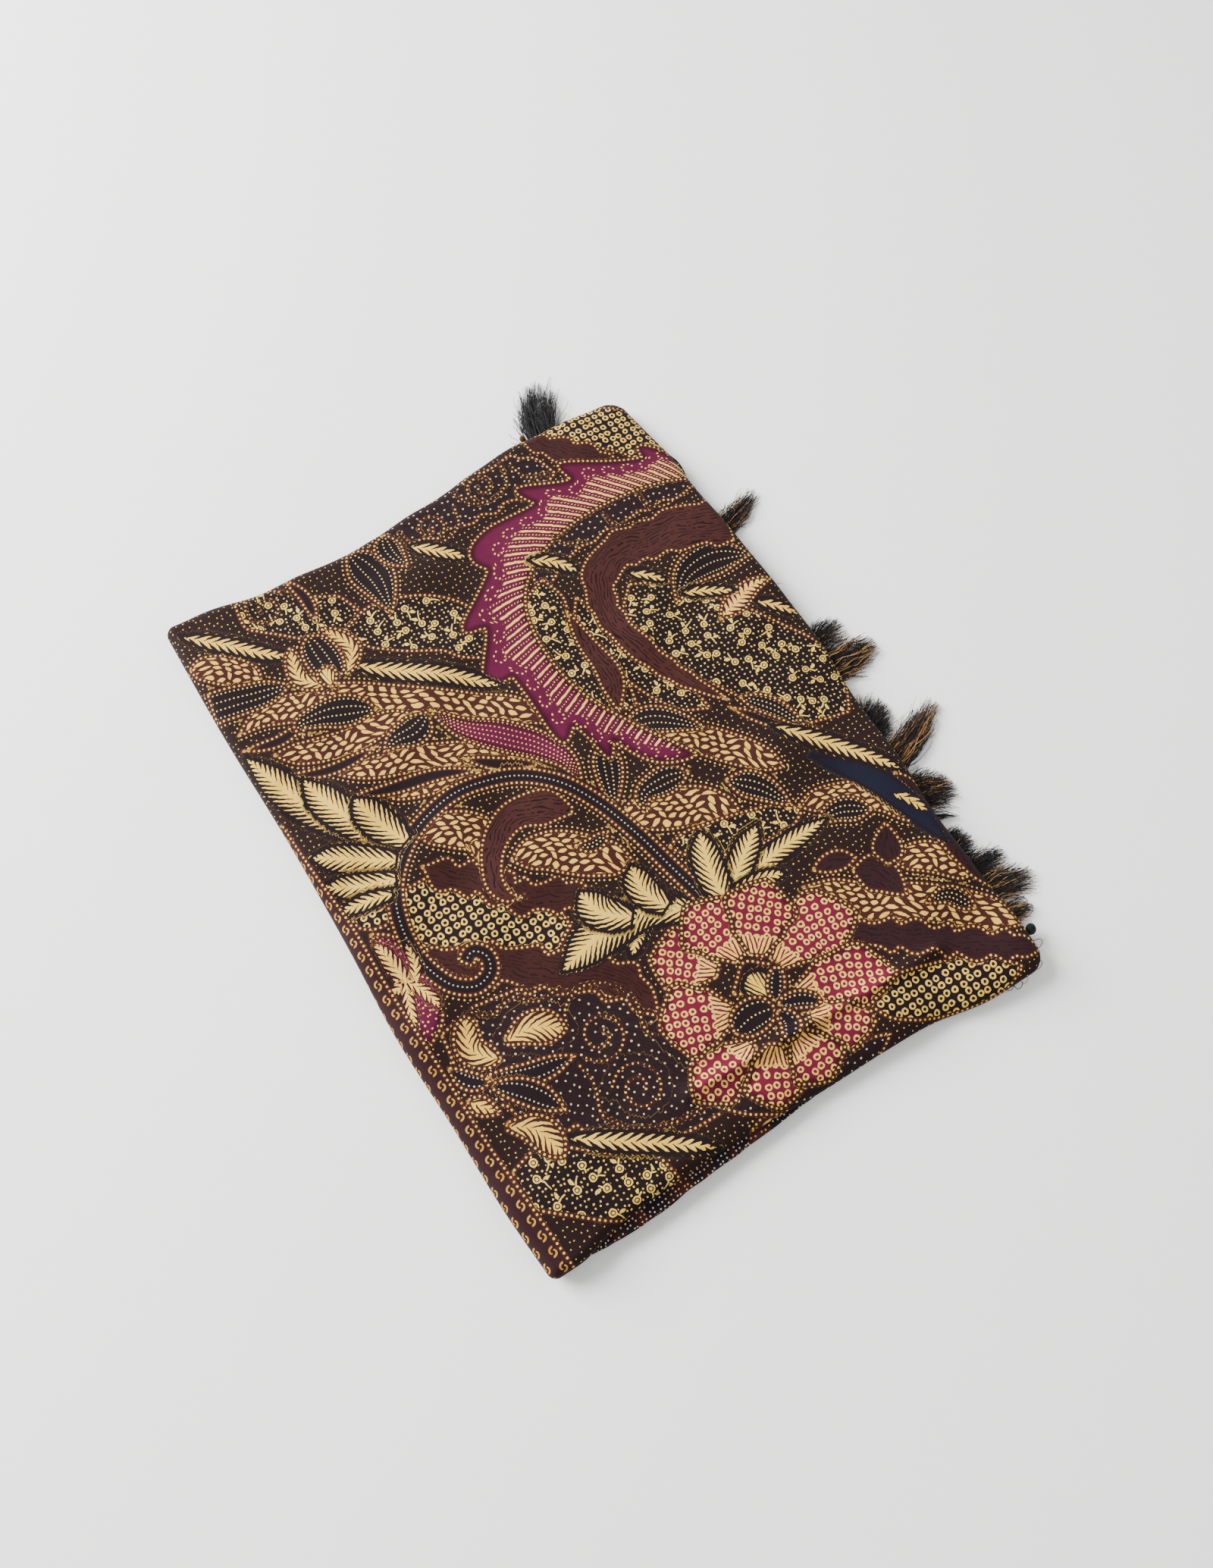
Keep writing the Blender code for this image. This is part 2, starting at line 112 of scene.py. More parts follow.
FAR_SIDE = rim(
    (-141, 0.6, 5.5, 5.0, 96, 2.6), (-126, -0.8, 5, 5.0, 88, 3.0), (-100, -6.0, 6, 5.0, 86, 2.5),
    (-66, -8.4, 6, 5.0, 86, 2.5), (-30, -10.2, 6, 5.0, 86, 2.0), (-8, -7.4, 6, 5.0, 86, 2.5),
    (30, -4.0, 6, 5.0, 86, 4.0), (70, 1.2, 6, 4.8, 84, 7.0), (106, 1.8, 7, 4.8, 84, 7.0),
    (141, 1.0, 12, 5.6, 92, 5.0),
)
LEFT_SIDE = rim(
    (-189, -2.0, 4.5, 5.4, 120, 3.6), (-160, 0.1, 5.6, 5.6, 150, 5.6), (-110, 1.0, 5.8, 5.6, 150, 5.6),
    (-62, 2.6, 5.8, 5.6, 150, 5.6), (-10, 0.6, 5.8, 5.6, 150, 5.6), (50, -0.4, 5.8, 5.6, 150, 5.6),
    (125, 0.6, 5.6, 5.6, 150, 5.6), (189, -0.4, 5.5, 5.4, 120, 2.8),
)


@dataclass(frozen=True)
class Crease:
    """A soft ridge in the cloth, or a trough if its height is below zero, from start to end, in mm."""

    start: Point
    end: Point
    height: float
    half_width: float


CREASES = (
    Crease((-44, -155), (20, -158.5), 2.7, 3.6), Crease((20, -158.5), (92, -162), 2.7, 3.6),
    Crease((-30, -165), (84, -172), -0.9, 4.5), Crease((-118, -150), (-30, -158), 0.5, 7),
    Crease((-128, 150), (-118, -60), 0.5, 6), Crease((-20, 150), (70, 60), 1.5, 13),
    Crease((-70, 60), (-20, -90), 1.4, 14), Crease((60, -20), (100, -130), 1.6, 13),
)
WRINKLES = (
    Crease((-36, -155.8), (18, -159.4), 0.8, 1.8), Crease((22, -160), (84, -163.6), 0.8, 1.8),
    Crease((2, 38), (22, 8), -0.7, 2.2), Crease((6, 42), (30, 10), 0.5, 3.0),
    Crease((-122, 60), (-128, -20), -0.4, 2.6), Crease((-60, 170), (-44, 120), -0.4, 4.0),
    Crease((-26, 176), (-10, 146), 0.45, 4.5), Crease((30, 180), (44, 150), -0.4, 4.0),
    Crease((128, 150), (134, 96), 0.4, 4.5), Crease((120, 20), (138, -30), -0.35, 4.0),
    Crease((-138, 70), (-112, 88), -0.4, 3.0), Crease((-60, -120), (-110, -170), 0.35, 5.0),
    Crease((92, -150), (126, -172), -0.5, 3.5), Crease((20, -168), (40, -186), -0.45, 3.0),
    Crease((-8, -166), (4, -184), 0.4, 2.6), Crease((70, -168), (86, -188), 0.45, 3.0),
    Crease((118, -60), (134, -120), 0.5, 5.0),
)
CEILING_GAP = 0.5 * MM
RIPPLE_COUNT = 16
RIPPLE_WAVES_MM = (26.0, 90.0)
RIPPLE_HEIGHT = 0.22 * MM
RIPPLE_SEED = 11


def hermite(places: Array, values: Array, at: Array) -> Array:
    """A smooth curve through values given at rising places.

    Between two places it is a cubic whose slope at each is that of the line through its neighbours.

    Args:
        places: where the values are given.
        values: one value, or one row of values, for each place.
        at: where to read the curve; past the ends it keeps the last value.

    Returns:
        The values at those places.
    """
    slopes = np.gradient(values, places, axis=0)
    at = np.clip(np.asarray(at, float), places[0], places[-1])
    left = np.clip(np.searchsorted(places, at) - 1, 0, len(places) - 2)
    span = places[left + 1] - places[left]
    t = (at - places[left]) / span
    if values.ndim > 1:
        t, span = t[..., None], span[..., None]
    rise = t * t * (3 - 2 * t)
    leave = t * (1 - t) ** 2
    arrive = t * t * (t - 1)
    flat_part = values[left] * (1 - rise) + values[left + 1] * rise
    return flat_part + span * (slopes[left] * leave + slopes[left + 1] * arrive)


def columns(*values: Array | float) -> Array:
    """Columns of numbers side by side, each an array or one number for all its rows."""
    return np.stack(np.broadcast_arrays(*values), axis=-1)


def table_value(rows: tuple[RimPoint, ...], column: str, at: Array) -> Array:
    """One column of a side's table, read smoothly at places given in metres."""
    places = np.array([row.along for row in rows]) * MM
    values = np.array([getattr(row, column) for row in rows], float)
    return hermite(places, values, at)


def ridges(creases: tuple[Crease, ...], x: Array, y: Array) -> Array:
    """Height of soft ridges, all in metres: for each, a bell curve of the distance to its line.

    Args:
        creases: the ridges.
        x: places on plan.
        y: the same for y.

    Returns:
        The height there.
    """
    total = np.zeros_like(x)
    for crease in creases:
        start = np.array(crease.start) * MM
        line = np.array(crease.end) * MM - start
        share = np.clip(((x - start[0]) * line[0] + (y - start[1]) * line[1]) / (line @ line), 0, 1)
        away = np.hypot(x - start[0] - share * line[0], y - start[1] - share * line[1])
        total = total + crease.height * MM * np.exp(-((away / (crease.half_width * MM)) ** 2))
    return total


def relief(x: Array, y: Array) -> Array:
    """Height of the cloth's relief over its flat level, all in metres.

    A low swell in the middle, the ridges, the wrinkles, and a sum of slow sine waves drawn at random.

    Args:
        x: places on plan.
        y: the same for y.

    Returns:
        The height there.
    """
    swell = SWELL_HEIGHT * np.cos(x / HALF_X * np.pi / 2) * np.cos(y / HALF_Y * np.pi / 2)
    total = np.clip(swell, 0, None) + ridges(CREASES, x, y) + ridges(WRINKLES, x, y)
    random = np.random.default_rng(RIPPLE_SEED)
    for _ in range(RIPPLE_COUNT):
        heading = random.uniform(0, np.pi)
        wave = random.uniform(*RIPPLE_WAVES_MM) * MM
        phase = random.uniform(0, 2 * np.pi)
        total = total + RIPPLE_HEIGHT * np.sin(
            (x * np.cos(heading) + y * np.sin(heading)) * 2 * np.pi / wave + phase
        )
    return total


class StackForm:
    """The flat top as a grid, and the ring of rim points round it from which the cloth turns down.

    base holds the numbers of the grid's own edge points, with each corner's point repeated while the
    outward direction turns through a right angle, and the arrays beside it hold the edge's shape there.
    order holds those numbers without repeats, and slots each rim point's place in it.
    """

    def __init__(self, columns: int, rows: int, corner_steps: int) -> None:
        """Lays out the grid and its rim.

        Args:
            columns: cells of the grid along x.
            rows: cells along y.
            corner_steps: cells round each corner.
        """
        u, v = np.meshgrid(np.linspace(0, 1, columns + 1), np.linspace(0, 1, rows + 1))
        x = (2 * u - 1) * HALF_X
        y = (2 * v - 1) * HALF_Y
        self.x = -(HALF_X + self.inner(LEFT_SIDE, y)) * (1 - u) + (HALF_X + self.inner(RIGHT_SIDE, y)) * u
        self.y = -(HALF_Y + self.inner(NEAR_SIDE, x)) * (1 - v) + (HALF_Y + self.inner(FAR_SIDE, x)) * v
        self.grid = np.arange(u.size).reshape(u.shape)
        sides = (
            (NEAR_SIDE, self.grid[0, :], x[0, :], 270),
            (RIGHT_SIDE, self.grid[:, -1], y[:, -1], 360),
            (FAR_SIDE, self.grid[-1, ::-1], x[-1, ::-1], 450),
            (LEFT_SIDE, self.grid[::-1, 0], y[::-1, 0], 540),
        )
        columns_read = ("reach", "drop", "turn", "foot")
        base, facing, shape = [], [], []
        for k, (table, edge, along, angle) in enumerate(sides):
            before, _, before_along, _ = sides[k - 1]
            start = np.array([table_value(before, c, before_along[-1]) for c in columns_read])
            end = np.array([table_value(table, c, along[0]) for c in columns_read])
            step = np.linspace(0, 1, corner_steps + 1)[:, None]
            base += [np.full(corner_steps + 1, edge[0]), edge[1:-1]]
            facing += [angle - 90 + 90 * step[:, 0], np.full(len(edge) - 2, float(angle))]
            shape += [start * (1 - step) + end * step]
            shape += [np.stack([table_value(table, c, along[1:-1]) for c in columns_read], axis=1)]
        self.base = np.concatenate(base)
        self.order = list(dict.fromkeys(self.base.tolist()))
        places = {number: k for k, number in enumerate(self.order)}
        self.slots = [places[number] for number in self.base.tolist()]
        turned = np.radians(np.concatenate(facing))
        self.direction = np.stack([np.cos(turned), np.sin(turned)], axis=1)
        table_rows = np.concatenate(shape)
        self.reach, self.drop, self.foot = (table_rows[:, k] * MM for k in (0, 1, 3))
        self.turn = np.radians(table_rows[:, 2])
        self.edge_xy = np.stack([self.x.ravel(), self.y.ravel()], axis=1)[self.base]

    @staticmethod
    def inner(rows: tuple[RimPoint, ...], along: Array) -> Array:
        """How far outside the plain rectangle the flat top ends: the outline less the rounded edge."""
        return (table_value(rows, "out", along) - table_value(rows, "reach", along)) * MM

    def flat_points(self, depth: float) -> Array:
        """The flat top's points, this far below the outer face."""
        z = STACK_HEIGHT - depth + relief(self.x, self.y)
        return np.stack([self.x, self.y, z], axis=-1).reshape(-1, 3)

    def turned(self, depth: float, turn: Array, top: Array | float) -> Array:
        """One ring of the rounded edge.

        The outward distance is the reach times the sine of the turn; past a right angle it comes back in on
        a circle as wide as the drop. The height falls by the drop times one less the cosine.

        Args:
            depth: how far below the outer face.
            turn: how far each rim point has turned, in radians.
            top: the height that it turns down from.

        Returns:
            The ring's points.
        """
        reach = self.reach - depth
        drop = self.drop - depth
        back = np.minimum(reach, drop)
        sine = np.sin(turn)
        out = np.where(turn <= np.pi / 2, reach * sine, reach - back * (1 - sine))
        xy = self.edge_xy + self.direction * out[:, None]
        return np.column_stack([xy, top - drop * (1 - np.cos(turn))])


TUBE_SIDES = 3


def new_object(name: str, data: bpy.types.ID) -> Object:
    """An object that holds the data, linked to the scene."""
    obj = bpy.data.objects.new(name, data)
    bpy.context.scene.collection.objects.link(obj)
    return obj


class MeshDraft:
    """Points and faces gathered as arrays, then made into one mesh object."""

    def __init__(self) -> None:
        """Starts empty."""
        self.points: list[Array] = []
        self.faces: list[tuple[int, ...]] = []
        self.count = 0

    def add(self, points: Array) -> Array:
        """Adds points and returns their numbers."""
        numbers = np.arange(len(points)) + self.count
        self.points.append(np.asarray(points, float))
        self.count += len(points)
        return numbers

    def face(self, *rows: Array) -> None:
        """Adds one face for each row of point numbers."""
        self.faces += [tuple(row.tolist()) for row in rows]

    def grid(self, ids: Array) -> None:
        """Adds the quads of a grid of point numbers, facing up."""
        self.face(*np.stack([ids[:-1, :-1], ids[:-1, 1:], ids[1:, 1:], ids[1:, :-1]], axis=-1).reshape(-1, 4))

    def strip(self, first: Array, second: Array, inward: bool = False) -> None:
        """Adds the faces between two closed rings, with a triangle where the first repeats a point."""
        quads = np.stack([first, second, np.roll(second, -1), np.roll(first, -1)], axis=1)
        pinched = quads[:, 0] == quads[:, 3]
        if inward:
            quads = quads[:, ::-1]
        thin = quads[pinched]
        self.face(*quads[~pinched], *(thin[:, 1:] if inward else thin[:, :3]))

    def tubes(self, centres: Array, radii: Array, sides: int = TUBE_SIDES) -> None:
        """Adds a closed tube along each line of centres.

        At every station a circle stands square to the line. The ends are closed by a face.

        Args:
            centres: lines, stations, xyz.
            radii: lines, stations.
            sides: points round the circle.
        """
        along = np.gradient(centres, axis=1)
        along /= np.linalg.norm(along, axis=2, keepdims=True) + 1e-12
        level = np.cross(along, (0.0, 0.0, 1.0))
        level /= np.linalg.norm(level, axis=2, keepdims=True) + 1e-9
        up = np.cross(level, along)
        angle = np.arange(sides) * 2 * np.pi / sides
        ring = level[:, :, None] * np.cos(angle)[:, None] + up[:, :, None] * np.sin(angle)[:, None]
        points = centres[:, :, None] + ring * radii[:, :, None, None]
        ids = self.add(points.reshape(-1, 3)).reshape(points.shape[:3])
        nxt = np.roll(ids, -1, axis=2)
        quads = np.stack([ids[:, :-1], nxt[:, :-1], nxt[:, 1:], ids[:, 1:]], axis=-1).reshape(-1, 4)
        self.face(*quads[:, ::-1], *ids[:, 0], *ids[:, -1, ::-1])

    def build(self, name: str, material: Material, layers: dict[str, Array]) -> Object:
        """Makes the mesh object.

        Args:
            name: its name.
            material: its finish.
            layers: vectors for every point, by attribute name.

        Returns:
            The object, linked to the scene.
        """
        mesh = bpy.data.meshes.new(name)
        mesh.from_pydata(np.concatenate(self.points).tolist(), [], self.faces)
        for title, values in layers.items():
            layer = mesh.attributes.new(title, "FLOAT_VECTOR", "POINT")
            layer.data.foreach_set("vector", np.asarray(values, np.float32).ravel())
        mesh.materials.append(material)
        mesh.shade_smooth()
        mesh.validate()
        return new_object(name, mesh)


# The print


class Dye(Enum):
    """Ground colours of the print, in sRGB from 0 to 1."""

    NIGHT = (0.098, 0.064, 0.074)
    BARK = (0.118, 0.072, 0.070)
    RUST = (0.215, 0.110, 0.100)
    BROWN = (0.212, 0.104, 0.088)
    UMBER = (0.185, 0.092, 0.084)
    PLUM = (0.158, 0.086, 0.094)
    DUSK = (0.124, 0.076, 0.084)
    MAGENTA = (0.296, 0.066, 0.172)
    PETAL = (0.370, 0.085, 0.165)
    INDIGO = (0.075, 0.080, 0.130)


HATCH_COLOUR = (0.045, 0.025, 0.035)


class Edge(Enum):
    """How a motif's outline is drawn, as the number that the material reads."""

    NONE = -1.0
    PLAIN = 0.0
    THREAD = 0.6
    BEADED = 1.0


@dataclass(frozen=True)
class Fill:
    """What is drawn inside a motif.

    dots and spread: radius and pitch of scattered dots, in mm. rings, grains, berries, hatch, border: 1
    where drawn. rows: how many rows of dots run along it. pitch: distance of its barbs along the spine, in
    mm, 0 for none. slant: how far a barb moves along for each step across, fan: how much that changes along
    the spine. reach: share of the width that barbs cross. stop: length of the spine that they cover, in mm,
    0 for all. core: 0 for plain strokes, else how far a feather's body fills its width. curls: 1 for dotted
    curls past the barbs. ink: -1 pale, 0 cream yellow, 1 orange gold.
    """

    dye: Dye = Dye.NIGHT
    dots: float = 0.0
    spread: float = 2.2
    rings: float = 0.0
    grains: float = 0.0
    berries: float = 0.0
    rows: float = 0.0
    hatch: float = 0.0
    border: float = 0.0
    pitch: float = 0.0
    slant: float = 1.0
    fan: float = 0.0
    reach: float = 1.0
    stop: float = 0.0
    core: float = 0.0
    curls: float = 0.0
    ink: float = 0.0


SPRIGS = Fill(dots=0.46, spread=2.75, berries=1, ink=-0.12)
GRAINS = Fill(dye=Dye.BROWN, grains=1, ink=0.1)
RINGS = Fill(rings=1)
SPECKS = Fill(dye=Dye.DUSK, dots=0.48, spread=4.2, hatch=0.4, ink=-0.75)
DOT_LEAF = Fill(rows=4, ink=-0.45)
DOT_BUD = Fill(rows=3, ink=-0.45)
DOT_LINE = Fill(rows=1, ink=-0.9)
DOT_VEIN = Fill(rows=2, ink=-0.8)
NIGHT = Fill()
HATCHED = Fill(dye=Dye.UMBER, hatch=0.7)
CRESCENT = Fill(dye=Dye.RUST, hatch=1)
PLUM_HATCH = Fill(dye=Dye.PLUM, hatch=0.6)
FROND = Fill(pitch=3.7, slant=1.35, core=0.12, ink=-0.05)
EAR = Fill(pitch=4.8, slant=1.5, core=0.10, ink=0.05)
SLIT_LEAF = Fill(dye=Dye.UMBER, pitch=4.4, slant=1.5, core=0.06, ink=0.15)
FAN = Fill(pitch=6.4, slant=3.2, core=0.05)
ROSE_LEAF = Fill(dye=Dye.MAGENTA, rows=6)
ROSE_COMB = Fill(dye=Dye.MAGENTA, pitch=3.4, slant=0.7, core=0.05)
ROSE_PATCH = Fill(dye=Dye.MAGENTA, dots=0.46, spread=2.6)
ROSE_FROND = Fill(dye=Dye.MAGENTA, pitch=3.6, slant=1.4, core=0.1)
PLUME = Fill(dye=Dye.MAGENTA, pitch=5.4, slant=1.2, fan=-1.4, reach=0.52, curls=1, ink=-0.1)
PETAL = Fill(dye=Dye.PETAL, rings=1, pitch=6.8, slant=3.2, stop=10, ink=-0.05)
STRIPE = Fill(dye=Dye.INDIGO)
BORDER = Fill(dye=Dye.PLUM, border=1, ink=0.7)

# Half widths along a spine, as shares of the widest
POINTED = (0.0, 0.72, 1.0, 0.86, 0.0)
DROP = (0.0, 0.95, 1.0, 0.62, 0.0)
HOOKED = (0.0, 0.8, 1.0, 0.8, 0.45, 0.0)
OVAL = (0.0, 0.66, 0.87, 0.97, 1.0, 0.97, 0.87, 0.66, 0.0)
EVEN = (0.0, 0.9, 1.0, 1.0, 1.0, 1.0, 1.0, 0.9, 0.0)
BLADE = (1.0, 1.0, 0.9, 0.7, 0.0)
FEATHER = (0.55, 0.85, 1.0, 1.0, 0.8, 0.0)
SPIKE = (0.0, 0.75, 1.0, 1.0, 0.9, 0.7, 0.0)
DIAMOND = (0.0, 0.5, 1.0, 0.5, 0.0)
PETAL_SHAPE = (0.24, 0.50, 0.78, 0.95, 1.0, 0.94, 0.66, 0.0)
BLOSSOM = (0.26, 0.50, 0.74, 0.94, 1.06, 1.0, 0.62, 0.0)
LINE = (1.0, 1.0)


@dataclass(frozen=True)
class Motif:
    """One shape of the print: a spine, a half width on its left and right, and what fills it.

    spine: its points, and width: the widest half width, in mm. profile: shares of it along the spine. left
    and right: factors for either side. lobes: how many its sides have, depth: their depth as a share of the
    width, lean: how far their tips lean along the spine, in mm. A thread's beads run along the spine itself.
    """

    fill: Fill
    spine: Sequence[Point]
    width: float
    profile: tuple[float, ...]
    left: float = 1.0
    right: float = 1.0
    lobes: float = 0.0
    depth: float = 0.0
    lean: float = 0.0
    edge: Edge = Edge.BEADED


def motifs(fill: Fill, profile: tuple[float, ...], *shapes: tuple, **others: object) -> list[Motif]:
    """Motifs that share a fill and a profile, each from its width and the points of its spine, in mm."""
    return [Motif(fill, spine, width, profile, **others) for width, *spine in shapes]


def thread(*spine: Point) -> Motif:
    """A row of beads through these points, in mm."""
    return Motif(NIGHT, spine, 1.0, LINE, edge=Edge.THREAD)


def spiral(centre: Point, radius: float, turns: float, start: float, hand: int = 1) -> Motif:
    """A row of beads that winds in to a centre, its radius shrinking evenly.

    Args:
        centre: its middle, in mm.
        radius: its outer radius, in mm.
        turns: how often it goes round.
        start: its outer end's direction, in degrees.
        hand: 1 against the clock, -1 with it.

    Returns:
        The row of beads.
    """
    t = np.linspace(0, 1, max(6, int(turns * 9)))
    angle = np.radians(start) + hand * turns * 2 * np.pi * t
    r = radius * (1 - 0.8 * t)
    return thread(*((centre[0] + a, centre[1] + b) for a, b in zip(r * np.cos(angle), r * np.sin(angle))))


GROUNDS = (
    *motifs(RINGS, EVEN, (14.8, (88.9, 188.6), (114.5, 178.3), (133, 161.9), (141.2, 141.4))),
    *motifs(SPECKS, EVEN, (12.7, (-18.8, 180.4), (5.8, 174.2), (34.6, 172.2), (63.3, 170.1), (81.7, 161.9)),
        lobes=6, depth=0.25),
    *motifs(SPRIGS, EVEN, (12.7, (-102.8, 180.4), (-84.4, 164), (-68, 149.6), (-49.5, 143.5))),
    *motifs(SPRIGS, OVAL, (16, (-61.8, 137.3), (-35.2, 125), (-14.7, 110.7), (-5.4, 84))),
    *motifs(SPECKS, EVEN, (7.4, (145.3, 116.8), (122.7, 123), (96.1, 124), (71.5, 122), (51, 116.8),
        (34.6, 102.5)), lobes=6, depth=0.3),
    *motifs(SPRIGS, EVEN, (10.3, (40.7, 108.6), (32.5, 90.2), (29.4, 65.6), (32.5, 43), (42.8, 20.4)),
        (7, (49.9, 90.2), (47.9, 65.6), (52, 41), (61.2, 18.4), (73.5, -0.1)), (24.2, (77.6, 82),
        (83.8, 53.3), (102.2, 24.5), (118.6, -4.2), (133, -39))),
    *motifs(GRAINS, OVAL, (8.2, (-139.7, 158.9), (-130.5, 153.7), (-119.2, 143.5), (-111, 133.2))),
    *motifs(GRAINS, EVEN, (7.8, (-135.6, 112.7), (-117.2, 115.8), (-100.8, 110.7), (-82.3, 104.5),
        (-63.9, 93.2), (-47.5, 79.9), (-29, 65.6), (-10.6, 51.2), (2.8, 34.8))),
    *motifs(GRAINS, OVAL, (7, (-125.4, 94.3), (-109, 86.1), (-88.5, 80.9), (-68, 79.9), (-53.6, 73.8)),
        (7, (-106.9, 71.7), (-86.4, 61.5), (-63.9, 53.3), (-43.4, 43), (-27, 30.7), (-8.5, 20.4)),
        (4.9, (-90.5, 47.1), (-74.1, 41), (-57.7, 34.8), (-39.3, 28.6)), (9.4, (-86.4, 20.4), (-70, 12.2),
        (-59.8, 2), (-68, -10.3)), (10.7, (1.7, -24.7), (20.2, -32.9), (38.7, -41.1), (53, -59.5)),
        (8.6, (40.7, 2), (55.1, -8.3), (71.5, -26.7), (85.8, -47.2))),
    *motifs(SPRIGS, OVAL, (9.4, (14, -51.3), (34.6, -59.5), (57.1, -65.7), (81.7, -69.8))),
    *motifs(GRAINS, OVAL, (7.8, (79.7, -67.7), (100.2, -73.9), (118.6, -86.2), (126.8, -106.7))),
    *motifs(GRAINS, EVEN, (9.4, (57.1, -102.6), (67.4, -114.9), (81.7, -127.2), (100.2, -139.5),
        (118.6, -153.9), (137.1, -174.4))),
    *motifs(GRAINS, OVAL, (8.2, (102.2, -114.9), (118.6, -123.1), (133, -141.6))),
    *motifs(SPRIGS, EVEN, (14.4, (-129.5, -141.6), (-111, -158), (-90.5, -174.4), (-68, -184.6))),
    *motifs(GRAINS, OVAL, (4.9, (-29, -184.6), (-6.5, -187.7), (18.1, -187.7))),
    *motifs(RINGS, OVAL, (7, (-133.6, -1.1), (-125.4, -4.2), (-116.2, -10.3))),
    *motifs(RINGS, EVEN, (17.2, (-105.9, -2.1), (-92.6, -24.7), (-74.1, -43.1), (-47.5, -59.5)), lobes=7,
        depth=0.12),
    *motifs(HATCHED, EVEN, (9.4, (-119.2, -30.8), (-102.8, -47.2), (-82.3, -59.5), (-61.8, -78),
        (-41.3, -96.4), (-35.2, -116.9)), lobes=8, depth=0.4),
    *motifs(HATCHED, EVEN, (7.8, (-92.6, 4), (-82.3, -8.3), (-70, -18.5), (-61.8, -32.9), (-43.4, -44.1),
        (-29, -53.4)), lobes=6, depth=0.5),
    *motifs(SPECKS, OVAL, (30.8, (-125.4, -71.8), (-98.7, -96.4), (-70, -123.1), (-47.5, -151.8),
        (-35.2, -170.3)), lobes=8, depth=0.12),
    *motifs(RINGS, OVAL, (12.7, (48.9, -164.1), (71.5, -174.4), (96.1, -182.6), (122.7, -190.8))),
    *motifs(PLUM_HATCH, EVEN, (7, (59.2, -131.3), (77.6, -143.6), (96.1, -158), (114.5, -172.3),
        (137.1, -188.7)), lobes=7, depth=0.5),
    *motifs(SPECKS, OVAL, (8.2, (-35.2, -168.2), (-18.8, -174.4), (-2.4, -182.6), (34.6, -184.6),
        (51, -182.6))),
    *motifs(PLUM_HATCH, OVAL, (7, (130.9, -78), (135, -102.6), (135, -127.2), (137.1, -151.8))),
)
DARK_LEAVES = (
    *motifs(NIGHT, POINTED, (2.7, (-137.7, 104.5), (-119.2, 99.4), (-100.8, 102.5)), (2.7, (-127.4, 82),
        (-106.9, 72.7), (-78.2, 70.7)), (3.1, (-109, 54.3), (-84.4, 47.5), (-61.8, 41), (-41.3, 31.7)),
        (3.1, (-47.5, 43), (-35.2, 31.7), (-14.7, 19.4)), (2.7, (-74.1, 180.4), (-70, 166), (-71.1, 149.6))),
    *motifs(NIGHT, OVAL, (4.5, (-82.3, 110.7), (-86.4, 114.8), (-84.8, 122))),
    *motifs(NIGHT, POINTED, (3.3, (81.7, -4.2), (94, -20.6), (114.5, -41.1))),
    *motifs(DOT_LEAF, BLADE, (8.4, (-139.7, 133.2), (-127.4, 130.2), (-113.1, 127.1), (-99.8, 124.6))),
    *motifs(DOT_LEAF, HOOKED, (8.4, (-69, 89.1), (-82.3, 96.3), (-96.7, 101.4), (-106.9, 101.4),
        (-108, 94.3))),
    *motifs(DOT_LEAF, DROP, (7.9, (-48.5, 73.8), (-59.8, 68.6), (-70, 68.6), (-78.2, 65.6)),
        (10.3, (-38.2, 178.3), (-33.1, 157.8), (-35.6, 133.2)), (6.8, (-16.7, 178.3), (-18.8, 166),
        (-15.7, 151.7)), (6.8, (18.1, 14.3), (12, -0.1), (2.8, -20.6)), (7.4, (28.4, 14.3), (44.8, 10.2),
        (55.1, 2), (65.3, -8.3))),
    *motifs(DOT_LEAF, HOOKED, (7.4, (44.8, -23.6), (30.5, -20.6), (18.1, -22.6), (15.7, -30.8))),
    *motifs(DOT_LEAF, DROP, (9.4, (143.2, 63.5), (124.8, 72.7), (108.4, 71.7), (93, 59.4)),
        (6.8, (57.1, -37), (69.4, -49.3), (77.6, -65.7)), (6.4, (110.4, -88.2), (96.1, -80), (81.7, -80)),
        (4.9, (89.9, -2.1), (102.2, -18.5), (108.4, -37))),
    *motifs(DOT_LEAF, HOOKED, (4.9, (122.7, -155.9), (114.5, -143.6), (102.2, -141.6))),
)
